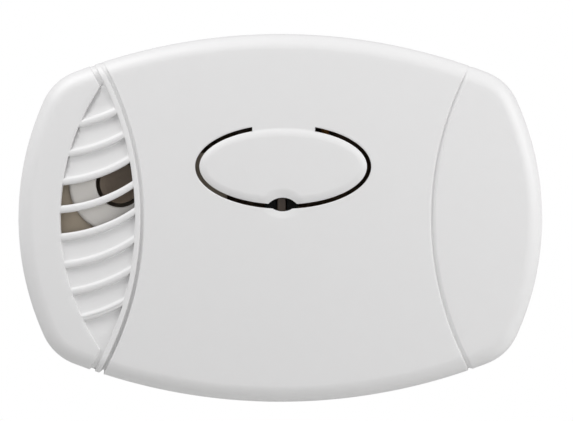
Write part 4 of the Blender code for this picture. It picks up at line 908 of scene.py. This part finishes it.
# Colour, roughness and its spread, noise scale, relief and its scale, tint
SIMPLE_MATERIALS = {
    "horn_plastic": ((0.71, 0.685, 0.65), 0.5, 0.05, 300.0, 0.15, 2500.0, 0.02),
    "taupe_plastic": ((0.41, 0.345, 0.265), 0.5, 0.06, 400.0, 0.2, 2200.0, 0.06),
    "plug_brown": ((0.18, 0.135, 0.095), 0.45, 0.06, 500.0, 0.25, 1800.0, 0.15),
    "disc_orange": ((0.50, 0.20, 0.04), 0.35, 0.05, 700.0, 0.1, 2500.0, 0.1),
    "board_phenolic": ((0.22, 0.13, 0.065), 0.6, 0.1, 900.0, 0.3, 1500.0, 0.25),
    # piezo_brass is a dull dark brown and not metallic: painted shade for the brass disc that sits deep
    # in the resonator's hole
    "piezo_brass": ((0.20, 0.145, 0.085), 0.45, 0.08, 500.0, 0.2, 1800.0, 0.1),
    "piezo_layer": ((0.55, 0.53, 0.48), 0.55, 0.05, 700.0, 0.2, 2500.0, 0.05),
    "ferrite_coil": ((0.10, 0.06, 0.04), 0.6, 0.1, 700.0, 0.3, 1500.0, 0.2),
    "resistor_body": ((0.55, 0.38, 0.22), 0.5, 0.06, 500.0, 0.2, 2000.0, 0.08),
    "led_lens": ((0.085, 0.055, 0.035), 0.3, 0.05, 700.0, 0.05, 2500.0, 0.2),
    "cell_jacket": ((0.03, 0.03, 0.035), 0.35, 0.05, 300.0, 0.1, 2500.0, 0.15),
}


def speckled(name, colour, roughness=0.45, spread=0.05, scale=220.0, bump=0.15, bump_scale=2600.0,
             metallic=0.0, tint=0.03, gleam=0.5):
    """A Principled material whose colour, gloss and fine relief come from noise."""
    material = bpy.data.materials.new(name)
    material.use_nodes = True
    nodes, link = material.node_tree.nodes, material.node_tree.links.new
    shader = nodes["Principled BSDF"]
    place = nodes.new("ShaderNodeTexCoord")
    broad = nodes.new("ShaderNodeTexNoise")
    broad.inputs["Scale"].default_value = scale
    broad.inputs["Detail"].default_value = 4.0
    link(place.outputs["Object"], broad.inputs["Vector"])
    mix = nodes.new("ShaderNodeMix")
    mix.data_type = "RGBA"
    dark = [c * (1 - tint) for c in colour]
    light = [min(1.0, c * (1 + tint)) for c in colour]
    mix.inputs[6].default_value = (*dark, 1.0)
    mix.inputs[7].default_value = (*light, 1.0)
    link(broad.outputs["Fac"], mix.inputs[0])
    link(mix.outputs[2], shader.inputs["Base Color"])
    gloss = nodes.new("ShaderNodeMapRange")
    gloss.inputs["To Min"].default_value = max(0.02, roughness - spread)
    gloss.inputs["To Max"].default_value = min(1.0, roughness + spread)
    link(broad.outputs["Fac"], gloss.inputs["Value"])
    link(gloss.outputs["Result"], shader.inputs["Roughness"])
    fine = nodes.new("ShaderNodeTexNoise")
    fine.inputs["Scale"].default_value = bump_scale
    fine.inputs["Detail"].default_value = 3.0
    link(place.outputs["Object"], fine.inputs["Vector"])
    relief = nodes.new("ShaderNodeBump")
    relief.inputs["Strength"].default_value = bump
    relief.inputs["Distance"].default_value = RELIEF_DISTANCE
    link(fine.outputs["Fac"], relief.inputs["Height"])
    link(relief.outputs["Normal"], shader.inputs["Normal"])
    shader.inputs["Metallic"].default_value = metallic
    shader.inputs["Specular IOR Level"].default_value = gleam
    return material


def make_materials():
    """Every material, by the record's slots."""
    white = speckled("white_plastic", (0.722, 0.718, 0.716), 0.42, 0.03, 300.0, 0.12, 3000.0, tint=0.008)
    black = speckled(
        "black_plastic", (0.008, 0.008, 0.008), 0.5, 0.06, 400.0, 0.2, 2500.0, tint=0.15, gleam=0.15
    )
    steel = speckled(
        "plated_steel", (0.60, 0.60, 0.62), 0.32, 0.08, 500.0, 0.15, 2000.0, metallic=1.0, tint=0.06
    )
    can = speckled(
        "aluminium_can", (0.70, 0.71, 0.73), 0.34, 0.06, 500.0, 0.15, 1500.0, metallic=1.0, tint=0.04
    )
    by_slot = {
        "white_plastic": white, "bracket_plastic": white, "screw_steel": steel, "contact_steel": steel,
        "black_plastic": black, "aluminium_can": can,
    }
    for slot, settings in SIMPLE_MATERIALS.items():
        *values, tint = settings
        by_slot[slot] = speckled(slot, *values, tint=tint)
    return by_slot


def dress(item, material):
    """Give an object one material."""
    item.data.materials.clear()
    item.data.materials.append(material)


# ---------------------------------------------------------------- stage, light and camera


def make_stage():
    """A plain pale floor some way below the alarm."""
    floor_mesh = bpy.data.meshes.new("floor")
    level = CAD_BOX[0][2] - FLOOR_DROP
    corners = [(x * FLOOR_HALF, y * FLOOR_HALF, level) for x, y in ((-1, -1), (1, -1), (1, 1), (-1, 1))]
    floor_mesh.from_pydata(corners, [], [(0, 1, 2, 3)])
    floor = bpy.data.objects.new("floor", floor_mesh)
    bpy.context.scene.collection.objects.link(floor)
    dress(floor, speckled("floor_paper", (0.72, 0.72, 0.71), 0.8, 0.03, 6.0, 0.0, 50.0, tint=0.01))


def make_world():
    """A white band at eye level, with a softer sky above it and a darker ground below."""
    world = bpy.data.worlds.new("studio")
    world.use_nodes = True
    nodes, link = world.node_tree.nodes, world.node_tree.links.new
    place = nodes.new("ShaderNodeTexCoord")
    split = nodes.new("ShaderNodeSeparateXYZ")
    link(place.outputs["Generated"], split.inputs["Vector"])
    height = nodes.new("ShaderNodeMapRange")
    height.inputs["From Min"].default_value = -1.0
    link(split.outputs["Z"], height.inputs["Value"])
    ramp = nodes.new("ShaderNodeValToRGB")
    link(height.outputs["Result"], ramp.inputs["Fac"])
    stops = ramp.color_ramp.elements
    stops[0].position, stops[0].color = 0.0, (*GROUND, 1)
    stops[1].position, stops[1].color = 1.0, (*SKY, 1)
    for rise, colour in ((-1.2, GROUND), (-1.0, WHITE), (1.0, WHITE), (1.2, SKY)):
        stops.new(0.5 + rise * BAND_RISE / 2).color = (*colour, 1)
    background = nodes["Background"]
    link(ramp.outputs["Color"], background.inputs["Color"])
    background.inputs["Strength"].default_value = 1.0
    bpy.context.scene.world = world


def area_light(name, location, target, size, power):
    """A square softbox turned towards its target."""
    data = bpy.data.lights.new(name, "AREA")
    data.energy = power
    data.size = size
    lamp = bpy.data.objects.new(name, data)
    lamp.location = location
    lamp.rotation_euler = (Vector(target) - Vector(location)).to_track_quat("-Z", "Y").to_euler()
    bpy.context.scene.collection.objects.link(lamp)


def make_lights():
    for name, azimuth, elevation, power in SOFTBOXES:
        across = LIGHT_DISTANCE * math.cos(elevation)
        place = (
            across * math.sin(azimuth),
            LIGHT_TARGET[1] - across * math.cos(azimuth),
            LIGHT_DISTANCE * math.sin(elevation),
        )
        area_light(name, place, LIGHT_TARGET, LIGHT_SIZE, power)


def make_camera():
    """A long lens straight in front, as wide at the front's plane as VIEW_WIDTH."""
    data = bpy.data.cameras.new("camera")
    data.sensor_width = 36.0
    data.lens = data.sensor_width * VIEW_DISTANCE / VIEW_WIDTH
    data.clip_start, data.clip_end = 0.01, 20.0
    camera = bpy.data.objects.new("camera", data)
    camera.location = (VIEW_CENTRE[0], FRONT * MM - VIEW_DISTANCE, VIEW_CENTRE[1])
    camera.rotation_euler = (math.pi / 2, 0, 0)
    bpy.context.scene.collection.objects.link(camera)
    bpy.context.scene.camera = camera


# ---------------------------------------------------------------- putting it together


def main():
    """Dress the carried-over solids, then make the pieces that replace or join them, and the studio."""
    by_slot = make_materials()
    for part in frame["record"]["subparts"]:
        dress(frame["nodes"][part["node"]], by_slot[part["material_slot"]])

    cover = make_cover()
    dress(cover, by_slot["white_plastic"])
    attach(cover, "alarm")
    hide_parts("front_cover")

    button = make_button()
    dress(button, by_slot["white_plastic"])
    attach(button, "button")
    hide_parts("test_button")

    for boss in make_bosses():
        dress(boss, by_slot["white_plastic"])
        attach(boss, "alarm")
    post = make_post()
    dress(post, by_slot["white_plastic"])
    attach(post, "button")

    strip = make_strip()
    dress(strip, by_slot["white_plastic"])
    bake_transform(strip)

    horn = make_horn()
    dress(horn, by_slot["horn_plastic"])
    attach(horn, "alarm")
    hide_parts("horn_resonator")

    seal = make_seal()
    dress(seal, by_slot["taupe_plastic"])
    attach(seal, "alarm")

    make_stage()
    make_world()
    make_lights()
    make_camera()
    bpy.context.scene.view_settings.view_transform = "Standard"


main()
